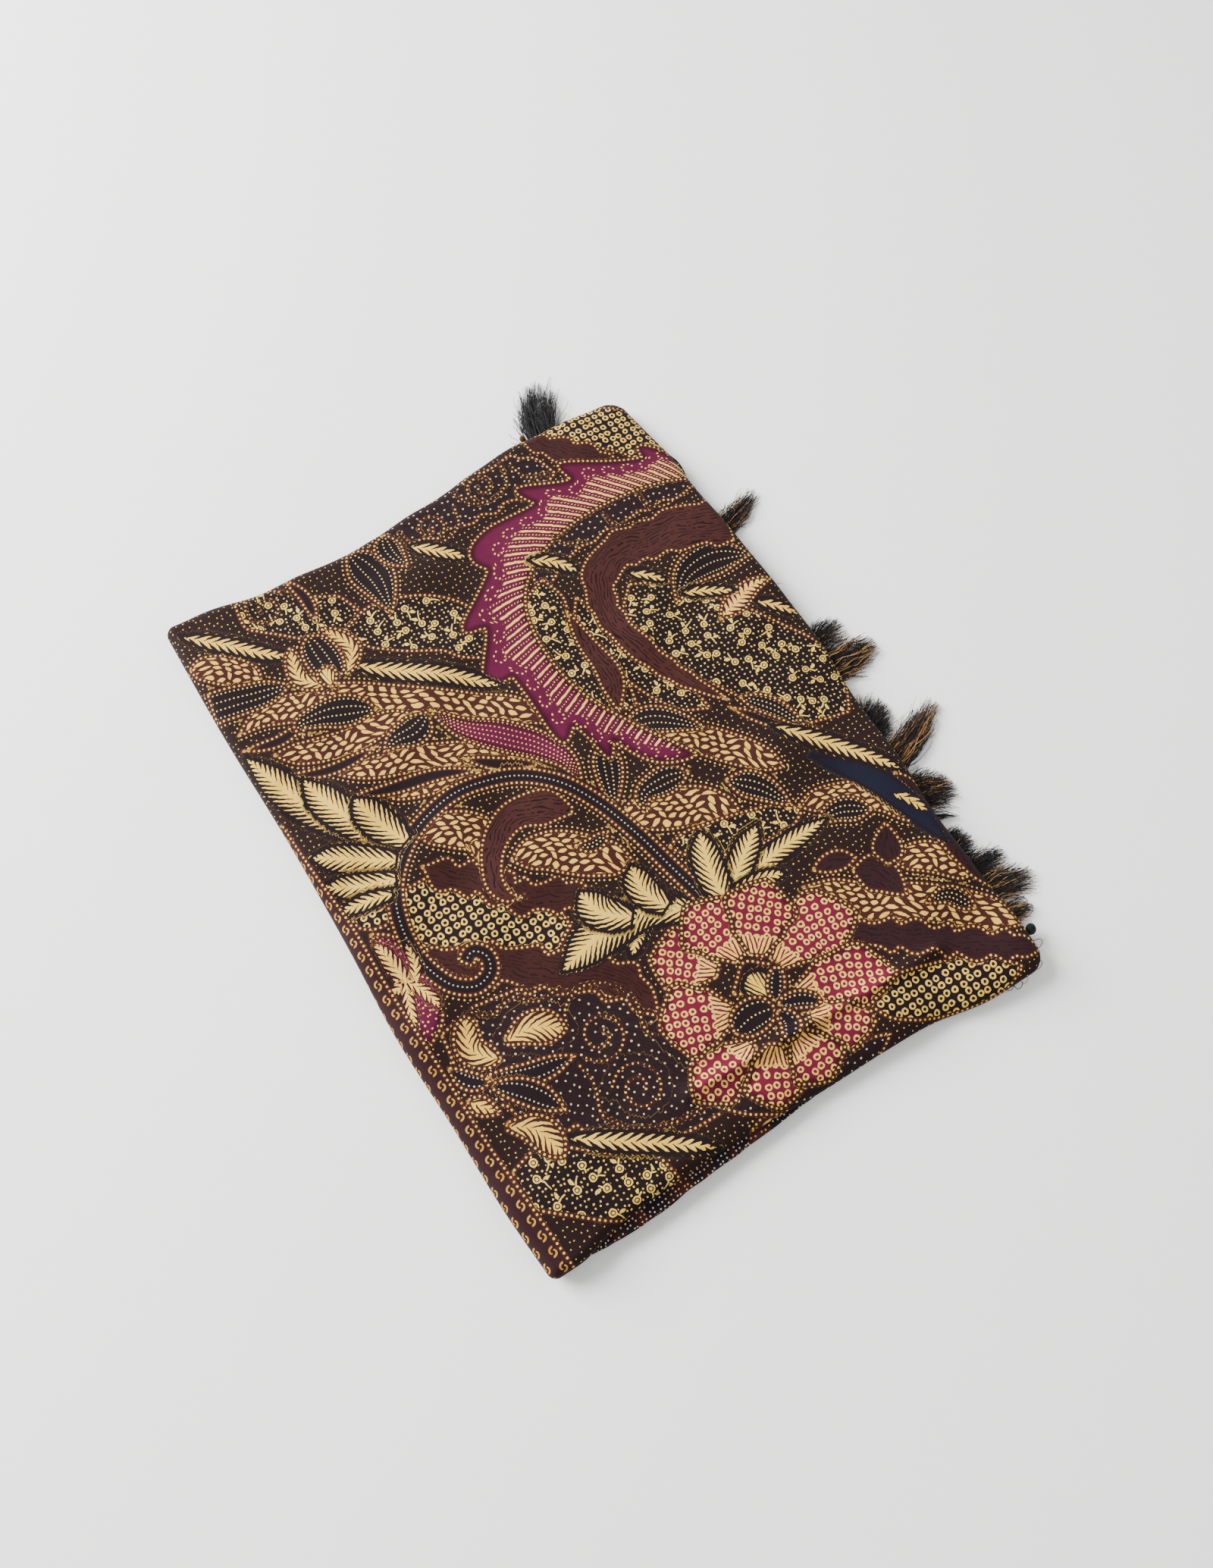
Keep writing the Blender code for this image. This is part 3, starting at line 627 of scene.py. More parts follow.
HATCHED_LEAVES = (
    *motifs(CRESCENT, (1.0, 0.93, 0.86, 0.78, 0.66, 0.54, 0.46, 0.42, 0.36, 0.24, 0.0), (14.4, (145.3, 87.1),
        (122.7, 96.3), (102.2, 100.4), (81.7, 101.9), (67.4, 94.3), (60.2, 79.9), (59.2, 61.5), (63.3, 43),
        (70.4, 24.5), (78.6, 8.1), (84.8, -2.1)), lobes=11, depth=0.2),
    *motifs(CRESCENT, (0.0, 0.6, 0.9, 1.0, 0.0), (5.9, (41.1, 86.1), (40.3, 65.6), (40.7, 45.1),
        (33.5, 22.5))),
    *motifs(CRESCENT, (0.2, 1.0, 0.9, 0.75, 0.62, 0.5, 0.4, 0.0), (9, (-15.7, -10.3), (-27, -1.1),
        (-41.3, 3), (-53.6, -2.1), (-62.8, -12.4), (-67, -22.6), (-65.5, -30.8), (-58.7, -35.9))),
    *motifs(GRAINS, OVAL, (10.7, (-54.6, -16.5), (-37.2, -21.6), (-20.8, -34.9), (-4.4, -49.3))),
    *motifs(DOT_LEAF, POINTED, (3.5, (-24.9, -26.7), (-16.7, -30.8), (-6.5, -28.8))),
    *motifs(ROSE_LEAF, (0.0, 0.6, 1.0, 0.95, 0.6, 0.0), (8.6, (-47.9, 75.4), (-38.2, 57.4), (-22.9, 42),
        (-10.6, 28.6), (-3.4, 13.3), (-4, -2.1))),
    *motifs(ROSE_COMB, DROP, (5.7, (106.3, 38.9), (118.6, 43), (130.9, 47.1), (145.3, 46.1))),
    *motifs(PLUM_HATCH, POINTED, (4.9, (66.3, -98.5), (77.6, -100.5), (87.9, -104.6))),
    *motifs(PLUM_HATCH, DROP, (8.6, (82.7, -108.7), (92, -116.9), (97.1, -133.3)), (7, (99.1, -115.9),
        (104.3, -108.7), (111.5, -97.5))),
    *motifs(HATCHED, OVAL, (7.4, (77.6, 192.7), (89.9, 176.3), (102.2, 161.9), (114.5, 147.6)), lobes=4,
        depth=0.4),
    *motifs(STRIPE, POINTED, (5.3, (102.2, -49.3), (118.6, -71.8), (126.8, -94.4), (130.9, -121)),
        edge=Edge.PLAIN),
    *motifs(EAR, POINTED, (3.3, (122.7, -86.2), (128.9, -94.4), (133, -104.6)), edge=Edge.NONE),
    *motifs(ROSE_PATCH, OVAL, (8.6, (-129.5, -12.4), (-124.4, -30.8), (-123.3, -51.3), (-132.6, -73.9))),
)
PLUMES = (
    *motifs(PLUME, (0.55, 0.74, 0.84, 0.92, 1.0, 0.98, 0.95, 0.9, 0.94, 0.9, 0.82, 0.72, 0.6, 0.42, 0.0),
        (30.8, (146.3, 119.9), (124.8, 127.1), (106.3, 130.2), (85.8, 131.2), (65.3, 128.1), (46.9, 120.9),
        (32.5, 110.7), (24.3, 98.4), (20.2, 82), (19.2, 65.6), (21.2, 49.2), (26.4, 32.7), (32.5, 20.4),
        (40.7, 4), (49.9, -12.4)), left=0.0, right=1.0, lobes=9, depth=0.42, lean=9.0),
)
FRONDS = (
    *motifs(FROND, FEATHER, (8.7, (-94.6, 19.4), (-111, 41), (-126.4, 67.6), (-137.7, 100.4)),
        (8.4, (-96.3, 20.4), (-108, 41), (-116.2, 61.5), (-119.2, 75.4)), (8.0, (-92.2, 19.4), (-97.7, 32.7),
        (-103.2, 52.2)), (6.9, (-101.2, 13.3), (-117.2, 24.5), (-135.2, 35.8)), (5.8, (-105.9, 5.1),
        (-121.3, 11.2), (-136.5, 19.4)), (3.8, (-111, -0.1), (-123.3, 3), (-136.5, 5.1)), edge=Edge.PLAIN),
    *motifs(ROSE_FROND, FEATHER, (4.5, (-125.8, -49.3), (-127.9, -30.8), (-129.9, -16.1)),
        (2.9, (-126.4, -47.2), (-119.2, -37), (-117.6, -24.7)), (2.9, (-126.4, -43.1), (-131.5, -42.1),
        (-136.1, -43.1)), (3.1, (-127, -41.1), (-130.5, -51.3), (-134, -63.6)), (3.3, (-126.2, -41.1),
        (-121.3, -51.3), (-119.2, -61.6)), edge=Edge.NONE),
    *motifs(FROND, FEATHER, (4.6, (-2.4, -79), (-18.8, -77), (-31.1, -88.2)), (10.0, (3.8, -82.1),
        (-14.7, -70.8), (-35.2, -70.8), (-62.8, -76.3)), (7.3, (-3.4, -75.9), (-8.5, -63.6), (-6.5, -49.3)),
        (8.0, (-20.8, -71.8), (-32.1, -61.6), (-35.2, -47.6)), (4.9, (23.3, -87.2), (55.1, -81.7),
        (87.9, -80.4)), (6.1, (22.3, -89.3), (38.7, -77), (57.1, -64.7)), (7.3, (21.2, -91.3), (24.3, -71.8),
        (31.5, -52.4)), (3.4, (28.4, -87.2), (40.7, -88.2), (55.1, -92.3)), edge=Edge.PLAIN),
    *motifs(EAR, SPIKE, (4.2, (-134.6, 179.4), (-115.1, 159.9), (-100.8, 145.5), (-91.6, 138.4)),
        (4.9, (-69, 117.8), (-47.5, 100.4), (-27, 84), (-8.5, 66.6)), (4.0, (-8.5, 164), (1.7, 153.7),
        (14, 141.4)), (4.2, (-101.8, -142), (-82.3, -155.9), (-61.8, -170.3), (-45.4, -183)),
        (4.2, (94, -24.7), (114.5, -49.3), (136.1, -80)), (3.4, (40.7, 122), (52, 113.7), (59.2, 102.5)),
        (3.1, (99.1, 63.5), (110.4, 58.4), (123.8, 50.2)), (2.7, (81.7, 88.1), (88.9, 82), (96.1, 73.8)),
        (2.8, (128.9, 38.9), (137.1, 30.7), (145.3, 20.4)), edge=Edge.PLAIN),
)
BUDS = (
    *motifs(SLIT_LEAF, OVAL, (4.9, (-81.3, 112.7), (-93.6, 124), (-90.5, 143.5)), (4.9, (-73.1, 113.7),
        (-63.9, 126.1), (-71.1, 144.5))),
    *motifs(DOT_LEAF, OVAL, (9, (-78.2, 113.7), (-78.6, 129.1), (-79.3, 144.5))),
    *motifs(FAN, PETAL_SHAPE, (4.9, (-82.3, 111.7), (-81.7, 118.9), (-80.3, 124.6))),
    *motifs(SLIT_LEAF, OVAL, (6.6, (-108, -96.4), (-117.2, -85.2), (-111.4, -69.8))),
    *motifs(SLIT_LEAF, PETAL_SHAPE, (8.2, (-101.8, -90.3), (-88.5, -91.3), (-75.2, -100.5))),
    *motifs(DOT_VEIN, POINTED, (4.9, (-119.2, -98.5), (-100.8, -108.7), (-78.2, -112.8)),
        (5.7, (-119.2, -102.6), (-105.9, -114.9), (-95, -131.3)), (4.1, (-130.5, -86.2), (-125.4, -96.4),
        (-117.2, -102.6))),
    *motifs(SLIT_LEAF, DROP, (4.1, (-130.5, -103.6), (-125.4, -110.8), (-120.3, -116.9))),
    *motifs(SLIT_LEAF, PETAL_SHAPE, (7, (-121.3, -123.1), (-111, -131.3), (-106.5, -148.7))),
)
FLOWER = (
    *motifs(PETAL, BLOSSOM, (14.9, (-0.3, -114.9), (-12.6, -102.6), (-25.3, -93.4)), (15.6, (24.3, -127.2),
        (44.8, -122.1), (72.5, -126.2)), (11.9, (-6.5, -151.8), (-24.9, -154.9), (-44.4, -159)),
        (13.1, (22.3, -155.9), (34.6, -164.1), (47.9, -174.4)), (13.1, (1.7, -158), (-5.4, -168.2),
        (-12.6, -183.6)), (14.3, (12, -115.9), (8.9, -98.5), (3.4, -80.4)), (15.6, (19.2, -119),
        (30.5, -104.6), (44.8, -89.9)), (13.6, (25.3, -143.6), (44.8, -147.7), (70.4, -161)),
        (13.1, (12, -159), (14, -170.3), (15.1, -185.6)), (16.3, (-5.4, -135.4), (-22.9, -128.2),
        (-39.3, -123.1)), lobes=2.6, depth=0.13),
    *motifs(NIGHT, DIAMOND, (9, (-1.3, -128.2), (12, -127.2), (25.3, -128.2))),
    *motifs(FAN, PETAL_SHAPE, (7.4, (13, -137.5), (11.6, -131.3), (9.9, -124.1)), edge=Edge.NONE),
    *motifs(DOT_BUD, OVAL, (8.2, (-10.6, -143.6), (0.7, -141.6), (12, -143.6))),
    *motifs(DOT_VEIN, OVAL, (4.1, (14, -141.6), (20.2, -133.3), (24.3, -128.2)), (4.1, (14, -143.6),
        (24.3, -146.7), (32.5, -152.8)), (4.5, (12, -145.7), (14, -152.8), (7.9, -160))),
)
STEM = (
    *motifs(DOT_LINE, LINE, (3.8, (14, -82), (9.9, -61.6), (4.8, -37), (-2.4, -12.4), (-14.7, 8.1),
        (-29, 20.4), (-47.5, 26.6), (-63.9, 27.6), (-80.3, 24.5), (-96.7, 14.3), (-108, 2), (-114.1, -12.4),
        (-116.2, -28.8), (-114.1, -43.1), (-108, -55.4), (-98.7, -60.6), (-90.5, -57.5), (-88.5, -50.3),
        (-93.6, -45.2), (-98.7, -48.2))),
)
CURLS = (
    thread((-75.2, -102.6), (-71.1, -92.3), (-59.8, -87.2), (-47.5, -92.3), (-41.3, -106.7), (-44.4, -121),
        (-35.2, -131.3), (-33.1, -143.6)),
    thread((-79.3, -116.9), (-78.2, -129.2), (-82.3, -141.6), (-74.1, -153.9), (-57.7, -162.1),
        (-39.3, -164.1)),
    thread((-111, -67.7), (-100.8, -75.9), (-88.5, -73.9), (-80.3, -82.1), (-68, -82.1)),
    thread((-8.5, 174.2), (-6.5, 164), (5.8, 156.8), (20.2, 160.9), (24.3, 172.2)),
    thread((28.4, 180.4), (32.5, 170.1), (44.8, 166), (57.1, 172.2), (59.2, 182.4)),
    thread((63.3, 178.3), (67.4, 168.1), (77.6, 164)),
    thread((89.9, 127.1), (92, 116.8), (102.2, 113.7)),
    thread((112.5, 126.1), (114.5, 116.8), (124.8, 112.7)),
    thread((60, 130), (63, 121), (72, 117)),
    spiral((-63.5, -111), 13, 1.6, 200),
    spiral((-61.5, -141), 13, 1.6, 150, -1),
    spiral((-90.5, 170.5), 12.5, 1.5, 20),
    spiral((6, 168), 9, 1.2, 300),
    spiral((43, 175), 9, 1.2, 220, -1),
)
STRIP = (
    *motifs(BORDER, LINE, (40, (-139.5, 60), (-137.3, 24.5), (-135.2, 0), (-135.2, -41), (-133.6, -82),
        (-132.6, -123), (-130.5, -154), (-126, -215)), left=0.0),
)

MOTIFS = GROUNDS + DARK_LEAVES + HATCHED_LEAVES + PLUMES + STEM + CURLS + FRONDS + BUDS + FLOWER + STRIP

SPINE_STEP = 1.4
LOBE_DRIFT, LOBE_DRIFT_RATE = 0.02, 23
LEAST_WIDTH = 0.3
OPEN_SCATTER = (0.33, 3.3, 0.0)
OPEN_INK = 0.1
RIM_START, RIM_WIDTH, RIM_SHADE = 1.2, 2.8, 0.32
CURL_OFFSET = 4.0
BEAD_PITCH = 2.5
LINE_MARGIN = 5.4
LINE_CLEARANCE = 1.2
PLAIN_MARGIN = 2.3
FAR_AWAY = 9.0
LINE_CHANNELS = 4
BLOCK_CELLS = 3_000_000


def resample(points: Array, step: float) -> tuple[Array, Array]:
    """A smooth line through points, with stations an even step apart.

    Args:
        points: the points.
        step: distance of two stations.

    Returns:
        The line, and the share of its length at each station.
    """
    chord = run_length(points)
    count = max(8, int(chord[-1] / step))
    at = np.linspace(0, chord[-1], count + 1)
    return hermite(chord, points, at), at / chord[-1]


def run_length(line: Array) -> Array:
    """The length along a line at each of its stations."""
    return np.concatenate([[0], np.cumsum(np.linalg.norm(np.diff(line, axis=0), axis=1))])


def nearest(points: Array, line: Array) -> tuple[Array, Array, Array]:
    """The nearest place on a line for each point, taken over all its straight pieces.

    Args:
        points: places, in mm.
        line: the line's stations.

    Returns:
        The distance, the length along the line, and 1 on its left and -1 on its right.
    """
    start, step = line[:-1], np.diff(line, axis=0)
    length = np.linalg.norm(step, axis=1) + 1e-9
    before = run_length(line)[:-1]
    results = []
    for block in np.array_split(points, len(points) * len(start) // BLOCK_CELLS + 1):
        away = block[:, None] - start[None]
        share = np.clip((away * step).sum(axis=2) / length**2, 0, 1)
        gap = away - share[:, :, None] * step
        best = (gap**2).sum(axis=2).argmin(axis=1)
        rows = np.arange(len(block))
        distance = np.linalg.norm(gap[rows, best], axis=1)
        along = before[best] + share[rows, best] * length[best]
        cross = step[best, 0] * away[rows, best, 1] - step[best, 1] * away[rows, best, 0]
        results.append(np.stack([distance, along, np.where(cross >= 0, 1.0, -1.0)]))
    return tuple(np.concatenate(results, axis=1))


def enclosed(points: Array, outline: Array) -> Array:
    """True for points inside a closed outline, by counting the edges crossed by a ray along x."""
    inside = []
    start, end = outline[:-1], outline[1:]
    slope = (end[:, 0] - start[:, 0]) / (end[:, 1] - start[:, 1] + 1e-12)
    for block in np.array_split(points, len(points) * len(start) // BLOCK_CELLS + 1):
        y = block[:, 1:2]
        crosses = (start[:, 1] > y) != (end[:, 1] > y)
        left_of = block[:, 0:1] < start[:, 0] + (y - start[:, 1]) * slope
        inside.append((crosses & left_of).sum(axis=1) % 2 == 1)
    return np.concatenate(inside)


class BatikPrint:
    """The print, drawn shape by shape onto the cloth's points; each shape covers those before it.

    Every array holds a vector for each point. place: a place along and across a motif, and the distance
    inside its outline. contour: on open ground, the distance to the nearest outline, the count of beads
    there and 1. lines: for each of a few channels, the signed distance to an outline, the count of beads
    along it and its kind. Outlines that meet lie in different channels, so each distance stays smooth.
    """

    def __init__(self, points: Array) -> None:
        """Starts with open ground over the whole cloth, given its points' surface coordinates in mm."""
        count = len(points)
        self.points = points
        self.place = np.column_stack([points, np.full(count, FAR_AWAY)])
        self.dye = np.tile(linear(Dye.BARK.value), (count, 1))
        self.scatter = np.tile(OPEN_SCATTER, (count, 1))
        self.fields = np.zeros((count, 3))
        self.barbs = np.tile((0.0, 1.0, FAR_AWAY), (count, 1))
        self.rows = np.zeros((count, 3))
        self.extra = np.tile((0.0, FAR_AWAY, OPEN_INK), (count, 1))
        self.contour = np.tile((FAR_AWAY, 0.0, 1.0), (count, 1))
        self.lines = np.tile((FAR_AWAY, 0.0, 0.0), (LINE_CHANNELS, count, 1))

    @staticmethod
    def form(motif: Motif) -> tuple[Array, Array, Array, Array]:
        """A motif's spine, its half widths and its closed outline.

        The half width runs smoothly through the profile. Lobes rise slowly and fall fast, like flames.

        Args:
            motif: the motif.

        Returns:
            The spine's stations, the left and right half widths there, and the outline.
        """
        spine, share = resample(np.array(motif.spine, float), SPINE_STEP)
        stations = np.linspace(0, 1, len(motif.profile))
        width = np.clip(hermite(stations, np.array(motif.profile, float), share), 0, None) * motif.width
        flame = ((share + LOBE_DRIFT * np.sin(LOBE_DRIFT_RATE * share)) * motif.lobes) % 1.0
        rise = np.sin(np.pi * flame**2)
        width = width * (1 + motif.depth * (rise - 0.5) * (motif.lobes > 0))
        left, right = width * motif.left, width * motif.right
        tangent = np.gradient(spine, axis=0)
        tangent /= np.linalg.norm(tangent, axis=1, keepdims=True) + 1e-9
        normal = np.stack([-tangent[:, 1], tangent[:, 0]], axis=1)
        lean = tangent * (rise * motif.lean)[:, None]
        up = spine + normal * left[:, None] + lean * motif.left
        down = spine - normal * right[:, None] + lean * motif.right
        return spine, left, right, np.concatenate([up, down[::-1], up[:1]])

    def draw(self, motif: Motif) -> None:
        """Draws one motif over what is there: its fill inside its outline, and the outline itself."""
        spine, left, right, outline = self.form(motif)
        line = spine if motif.edge is Edge.THREAD else outline
        low, high = line.min(axis=0) - LINE_MARGIN, line.max(axis=0) + LINE_MARGIN
        ids = np.flatnonzero(((self.points > low) & (self.points < high)).all(axis=1))
        if not len(ids):
            return
        points = self.points[ids]
        signed, run, _ = nearest(points, line)
        if motif.edge is not Edge.THREAD:
            signed = np.where(enclosed(points, outline), -signed, signed)
            covered = signed < (PLAIN_MARGIN if motif.edge is Edge.PLAIN else 0.0)
            self.fill(ids[covered], points[covered], -signed[covered], motif, (spine, left, right))
        total = run_length(line)[-1]
        beads = run / total * max(1, round(total / BEAD_PITCH))
        if motif.fill.grains or motif.fill.rows:
            closer = (signed > 0) & (signed < self.contour[ids, 0])
            self.contour[ids[closer], :2] = columns(signed, beads)[closer]
        self.trace(ids, signed, beads, motif.edge)

    def fill(self, ids: Array, points: Array, inset: Array, motif: Motif, form: tuple) -> None:
        """Writes what a motif's inside is filled with.

        Args:
            ids: the covered points' numbers.
            points: where they are.
            inset: how far inside the outline they lie.
            motif: the motif.
            form: its spine and its half widths.
        """
        fill = motif.fill
        spine, left, right = form
        distance, along, side = nearest(points, spine)
        stations = run_length(spine)
        width = np.where(side > 0, np.interp(along, stations, left), np.interp(along, stations, right))
        share = np.clip(distance / np.maximum(width, LEAST_WIDTH), 0, 1)
        across = distance * side
        whole = np.interp(along, stations, left + right)
        row = (across + np.interp(along, stations, right)) / np.maximum(whole, LEAST_WIDTH) * fill.rows
        progress = along / fill.stop if fill.stop else share / fill.reach
        progress = progress if fill.pitch else FAR_AWAY
        slant = fill.slant + fill.fan * along / stations[-1]
        own_axes = fill.pitch or fill.rows or fill.hatch or fill.grains or fill.border
        self.place[ids] = columns(along, across, inset) if own_axes else columns(*points.T, inset)
        deep = np.ones(len(ids))
        if fill.dye in (Dye.MAGENTA, Dye.PETAL):
            deep = np.clip((inset - RIM_START) / RIM_WIDTH, 0.0, 1.0)
        self.dye[ids] = linear(fill.dye.value) * (RIM_SHADE + (1 - RIM_SHADE) * deep)[:, None]
        self.scatter[ids] = (fill.dots, fill.spread, fill.border)
        self.fields[ids] = columns(fill.rings * (along > fill.stop - 1), fill.grains, fill.berries)
        self.barbs[ids] = columns(fill.pitch, slant, progress)
        self.rows[ids] = columns(whole / fill.rows if fill.rows else 0.0, row, fill.hatch)
        curls = distance - width * fill.reach - CURL_OFFSET if fill.curls else FAR_AWAY
        self.extra[ids] = columns(fill.core, curls, fill.ink)
        self.contour[ids] = (FAR_AWAY if motif.edge is Edge.PLAIN else 0.0, 0.0, 0.0)

    def trace(self, ids: Array, signed: Array, beads: Array, edge: Edge) -> None:
        """Writes a motif's outline into the channel where it meets the fewest others.

        Args:
            ids: the points' numbers.
            signed: distance to the outline, below zero inside it.
            beads: count of beads along it.
            edge: how it is drawn.
        """
        close = np.abs(signed) < LINE_MARGIN
        beside = ids[close & (signed > 0)]
        taken = [(np.abs(channel[beside, 0]) < LINE_MARGIN).sum() for channel in self.lines]
        own = self.lines[int(np.argmin(taken))]
        under = signed < LINE_CLEARANCE
        self.lines[:, ids[under], 0] = FAR_AWAY
        if edge is Edge.NONE:
            return
        picked = under | (close & (np.abs(signed) < np.abs(own[ids, 0])))
        own[ids[picked]] = columns(signed, beads, edge.value)[picked]

    def layers(self) -> dict[str, Array]:
        """Everything that the material reads, by attribute name."""
        names = ("place", "dye", "scatter", "fields", "barbs", "rows", "extra", "contour")
        return {name: getattr(self, name) for name in names} | {
            f"line_{c}": channel for c, channel in enumerate(self.lines)
        }


# The materials


def linear(colour: Triple) -> Array:
    """A colour in sRGB turned to linear light."""
    value = np.asarray(colour, float)
    return np.where(value <= 0.04045, value / 12.92, ((value + 0.055) / 1.055) ** 2.4)


def rgba(colour: Triple) -> tuple[float, ...]:
    """A colour in sRGB turned to linear light, with full cover."""
    return (*linear(colour), 1.0)


class Num:
    """A number in a shader, so that a pattern is written as the sum that it is."""

    def __init__(self, graph: "Graph", socket: NodeSocket) -> None:
        """Holds the socket that the number comes from."""
        self.graph = graph
        self.socket = socket

    def __add__(self, other: "Num | float") -> "Num":
        """The sum."""
        return self.graph.math("ADD", self, other)

    def __sub__(self, other: "Num | float") -> "Num":
        """The difference."""
        return self.graph.math("SUBTRACT", self, other)

    def __rsub__(self, other: float) -> "Num":
        """A plain number less this one."""
        return self.graph.math("SUBTRACT", other, self)

    def __mul__(self, other: "Num | float") -> "Num":
        """The product."""
        return self.graph.math("MULTIPLY", self, other)

    def __truediv__(self, other: "Num | float") -> "Num":
        """The quotient."""
        return self.graph.math("DIVIDE", self, other)

    __radd__ = __add__
    __rmul__ = __mul__

    def size(self) -> "Num":
        """Without its sign."""
        return self.graph.math("ABSOLUTE", self)

    def centred(self) -> "Num":
        """Its distance from the middle of its whole step, from -0.5 to 0.5."""
        return self.graph.math("FRACT", self) - 0.5

    def above(self, limit: "Num | float") -> "Num":
        """1 where it is more than the limit."""
        return self.graph.math("GREATER_THAN", self, limit)

    def below(self, limit: "Num | float", soft: float = 0.12) -> "Num":
        """1 where it is less than the limit, fading over a soft edge."""
        gap = self.graph.math("SUBTRACT", limit, self)
        ramp = self.graph.math("MULTIPLY_ADD", gap, 1 / soft, 0.5)
        ramp.socket.node.use_clamp = True
        return ramp

    def least(self, other: "Num | float") -> "Num":
        """The smaller of two."""
        return self.graph.math("MINIMUM", self, other)

    def most(self, other: "Num | float") -> "Num":
        """The larger of two."""
        return self.graph.math("MAXIMUM", self, other)


class Graph:
    """Writes nodes into a material or a group."""

    def __init__(self, tree: NodeTree) -> None:
        """Holds the tree that it writes to."""
        self.tree = tree

    def node(self, kind: str, inputs: dict | None = None, **settings: object) -> Node:
        """Adds a node.

        Args:
            kind: the node's type, without its first words.
            inputs: values or sockets for its inputs, by name or number.
            settings: its own settings.

        Returns:
            The node.
        """
        made = self.tree.nodes.new("ShaderNode" + kind)
        for name, value in settings.items():
            setattr(made, name, value)
        for name, value in (inputs or {}).items():
            self.plug(made.inputs[name], value)
        return made

    def plug(self, socket: NodeSocket, value: object) -> None:
        """Links a socket or number to an input, or sets it."""
        if isinstance(value, Num):
            value = value.socket
        if isinstance(value, NodeSocket):
            self.tree.links.new(value, socket)
        else:
            socket.default_value = value

    def math(self, operation: str, *values: "Num | float") -> Num:
        """One sum of numbers."""
        made = self.node("Math", dict(enumerate(values)), operation=operation)
        return Num(self, made.outputs[0])

    def combine(self, x: object, y: object, z: object = 0.0) -> NodeSocket:
        """A vector of three numbers."""
        return self.node("CombineXYZ", {0: x, 1: y, 2: z}).outputs[0]

    def split(self, vector: NodeSocket) -> tuple[Num, Num, Num]:
        """The three numbers of a vector."""
        made = self.node("SeparateXYZ", {0: vector})
        return tuple(Num(self, out) for out in made.outputs)

    def attribute(self, name: str) -> NodeSocket:
        """A vector stored on the mesh."""
        return self.node("Attribute", attribute_name=name).outputs["Vector"]

    def noise(self, vector: object, scale: float, detail: float = 2.0) -> Num:
        """Smooth noise from 0 to 1."""
        made = self.node("TexNoise", {"Vector": vector, "Scale": scale, "Detail": detail})
        return Num(self, made.outputs["Fac"])

    def hypot(self, a: Num, b: Num) -> Num:
        """The length of the long side of a right triangle."""
        return self.math("SQRT", a * a + b * b)

    def most(self, *values: Num) -> Num:
        """The largest of several."""
        largest = values[0]
        for value in values[1:]:
            largest = largest.most(value)
        return largest

    def cells(self, vector: object, randomness: float) -> Node:
        """The nearest of scattered points, one for each unit square."""
        return self.node(
            "TexVoronoi", {"Vector": vector, "Scale": 1.0, "Randomness": randomness}, voronoi_dimensions="2D"
        )

    def mix(self, factor: object, first: object, second: object, blend: str = "MIX") -> NodeSocket:
        """A colour between two."""
        made = self.tree.nodes.new("ShaderNodeMix")
        made.data_type = "RGBA"
        made.blend_type = blend
        self.plug(made.inputs[0], factor)
        self.plug(made.inputs[6], first)
        self.plug(made.inputs[7], second)
        return made.outputs[2]

    def ramp(self, factor: object, stops: tuple[tuple[float, tuple], ...]) -> NodeSocket:
        """A colour read from stops of place and sRGB colour."""
        made = self.node("ValToRGB", {0: factor})
        elements = made.color_ramp.elements
        while len(elements) < len(stops):
            elements.new(0.5)
        for element, (place, colour) in zip(elements, stops):
            element.position = place
            element.color = rgba(colour)
        return made.outputs[0]

    def use(self, group: NodeTree, **inputs: object) -> list[Num]:
        """Places a node group and returns its outputs in order."""
        made = self.tree.nodes.new("ShaderNodeGroup")
        made.node_tree = group
        for name, value in inputs.items():
            self.plug(made.inputs[name], value)
        return [Num(self, out) for out in made.outputs]

    def close(self, **outputs: Num) -> NodeTree:
        """Gives a node group its outputs, which are numbers, and returns its tree."""
        for name in outputs:
            self.tree.interface.new_socket(name=name, in_out="OUTPUT", socket_type="NodeSocketFloat")
        out = self.tree.nodes.new("NodeGroupOutput")
        for name, value in outputs.items():
            self.plug(out.inputs[name], value)
        return self.tree

    def surface(self) -> NodeSocket:
        """The object's own place, in mm."""
        x, y, z = self.split(self.node("TexCoord").outputs["Object"])
        return self.combine(x * 1000.0, y * 1000.0, z * 1000.0)

    def turned(self, a: Num, b: Num, angle: Num) -> tuple[Num, Num]:
        """A place on two axes, read on axes turned by an angle."""
        cosine, sine = self.math("COSINE", angle), self.math("SINE", angle)
        return a * cosine + b * sine, b * cosine - a * sine

    def worn(self, colour: object, factor: Num) -> NodeSocket:
        """A colour made darker or lighter by a factor."""
        return self.mix(1.0, colour, self.combine(factor, factor, factor), "MULTIPLY")


def new_group(name: str, vectors: Sequence[str], numbers: Sequence[str] = ()) -> tuple[Graph, list]:
    """Starts a node group.

    Args:
        name: its name.
        vectors: the names of its inputs that are vectors.
        numbers: the names of those that are numbers.

    Returns:
        The graph to write in, and its inputs in that order.
    """
    graph = Graph(bpy.data.node_groups.new(name, "ShaderNodeTree"))
    for title in (*vectors, *numbers):
        kind = "NodeSocketVector" if title in vectors else "NodeSocketFloat"
        graph.tree.interface.new_socket(name=title, in_out="INPUT", socket_type=kind)
    entry = graph.tree.nodes.new("NodeGroupInput")
    given = [entry.outputs[title] for title in vectors]
    return graph, given + [Num(graph, entry.outputs[title]) for title in numbers]


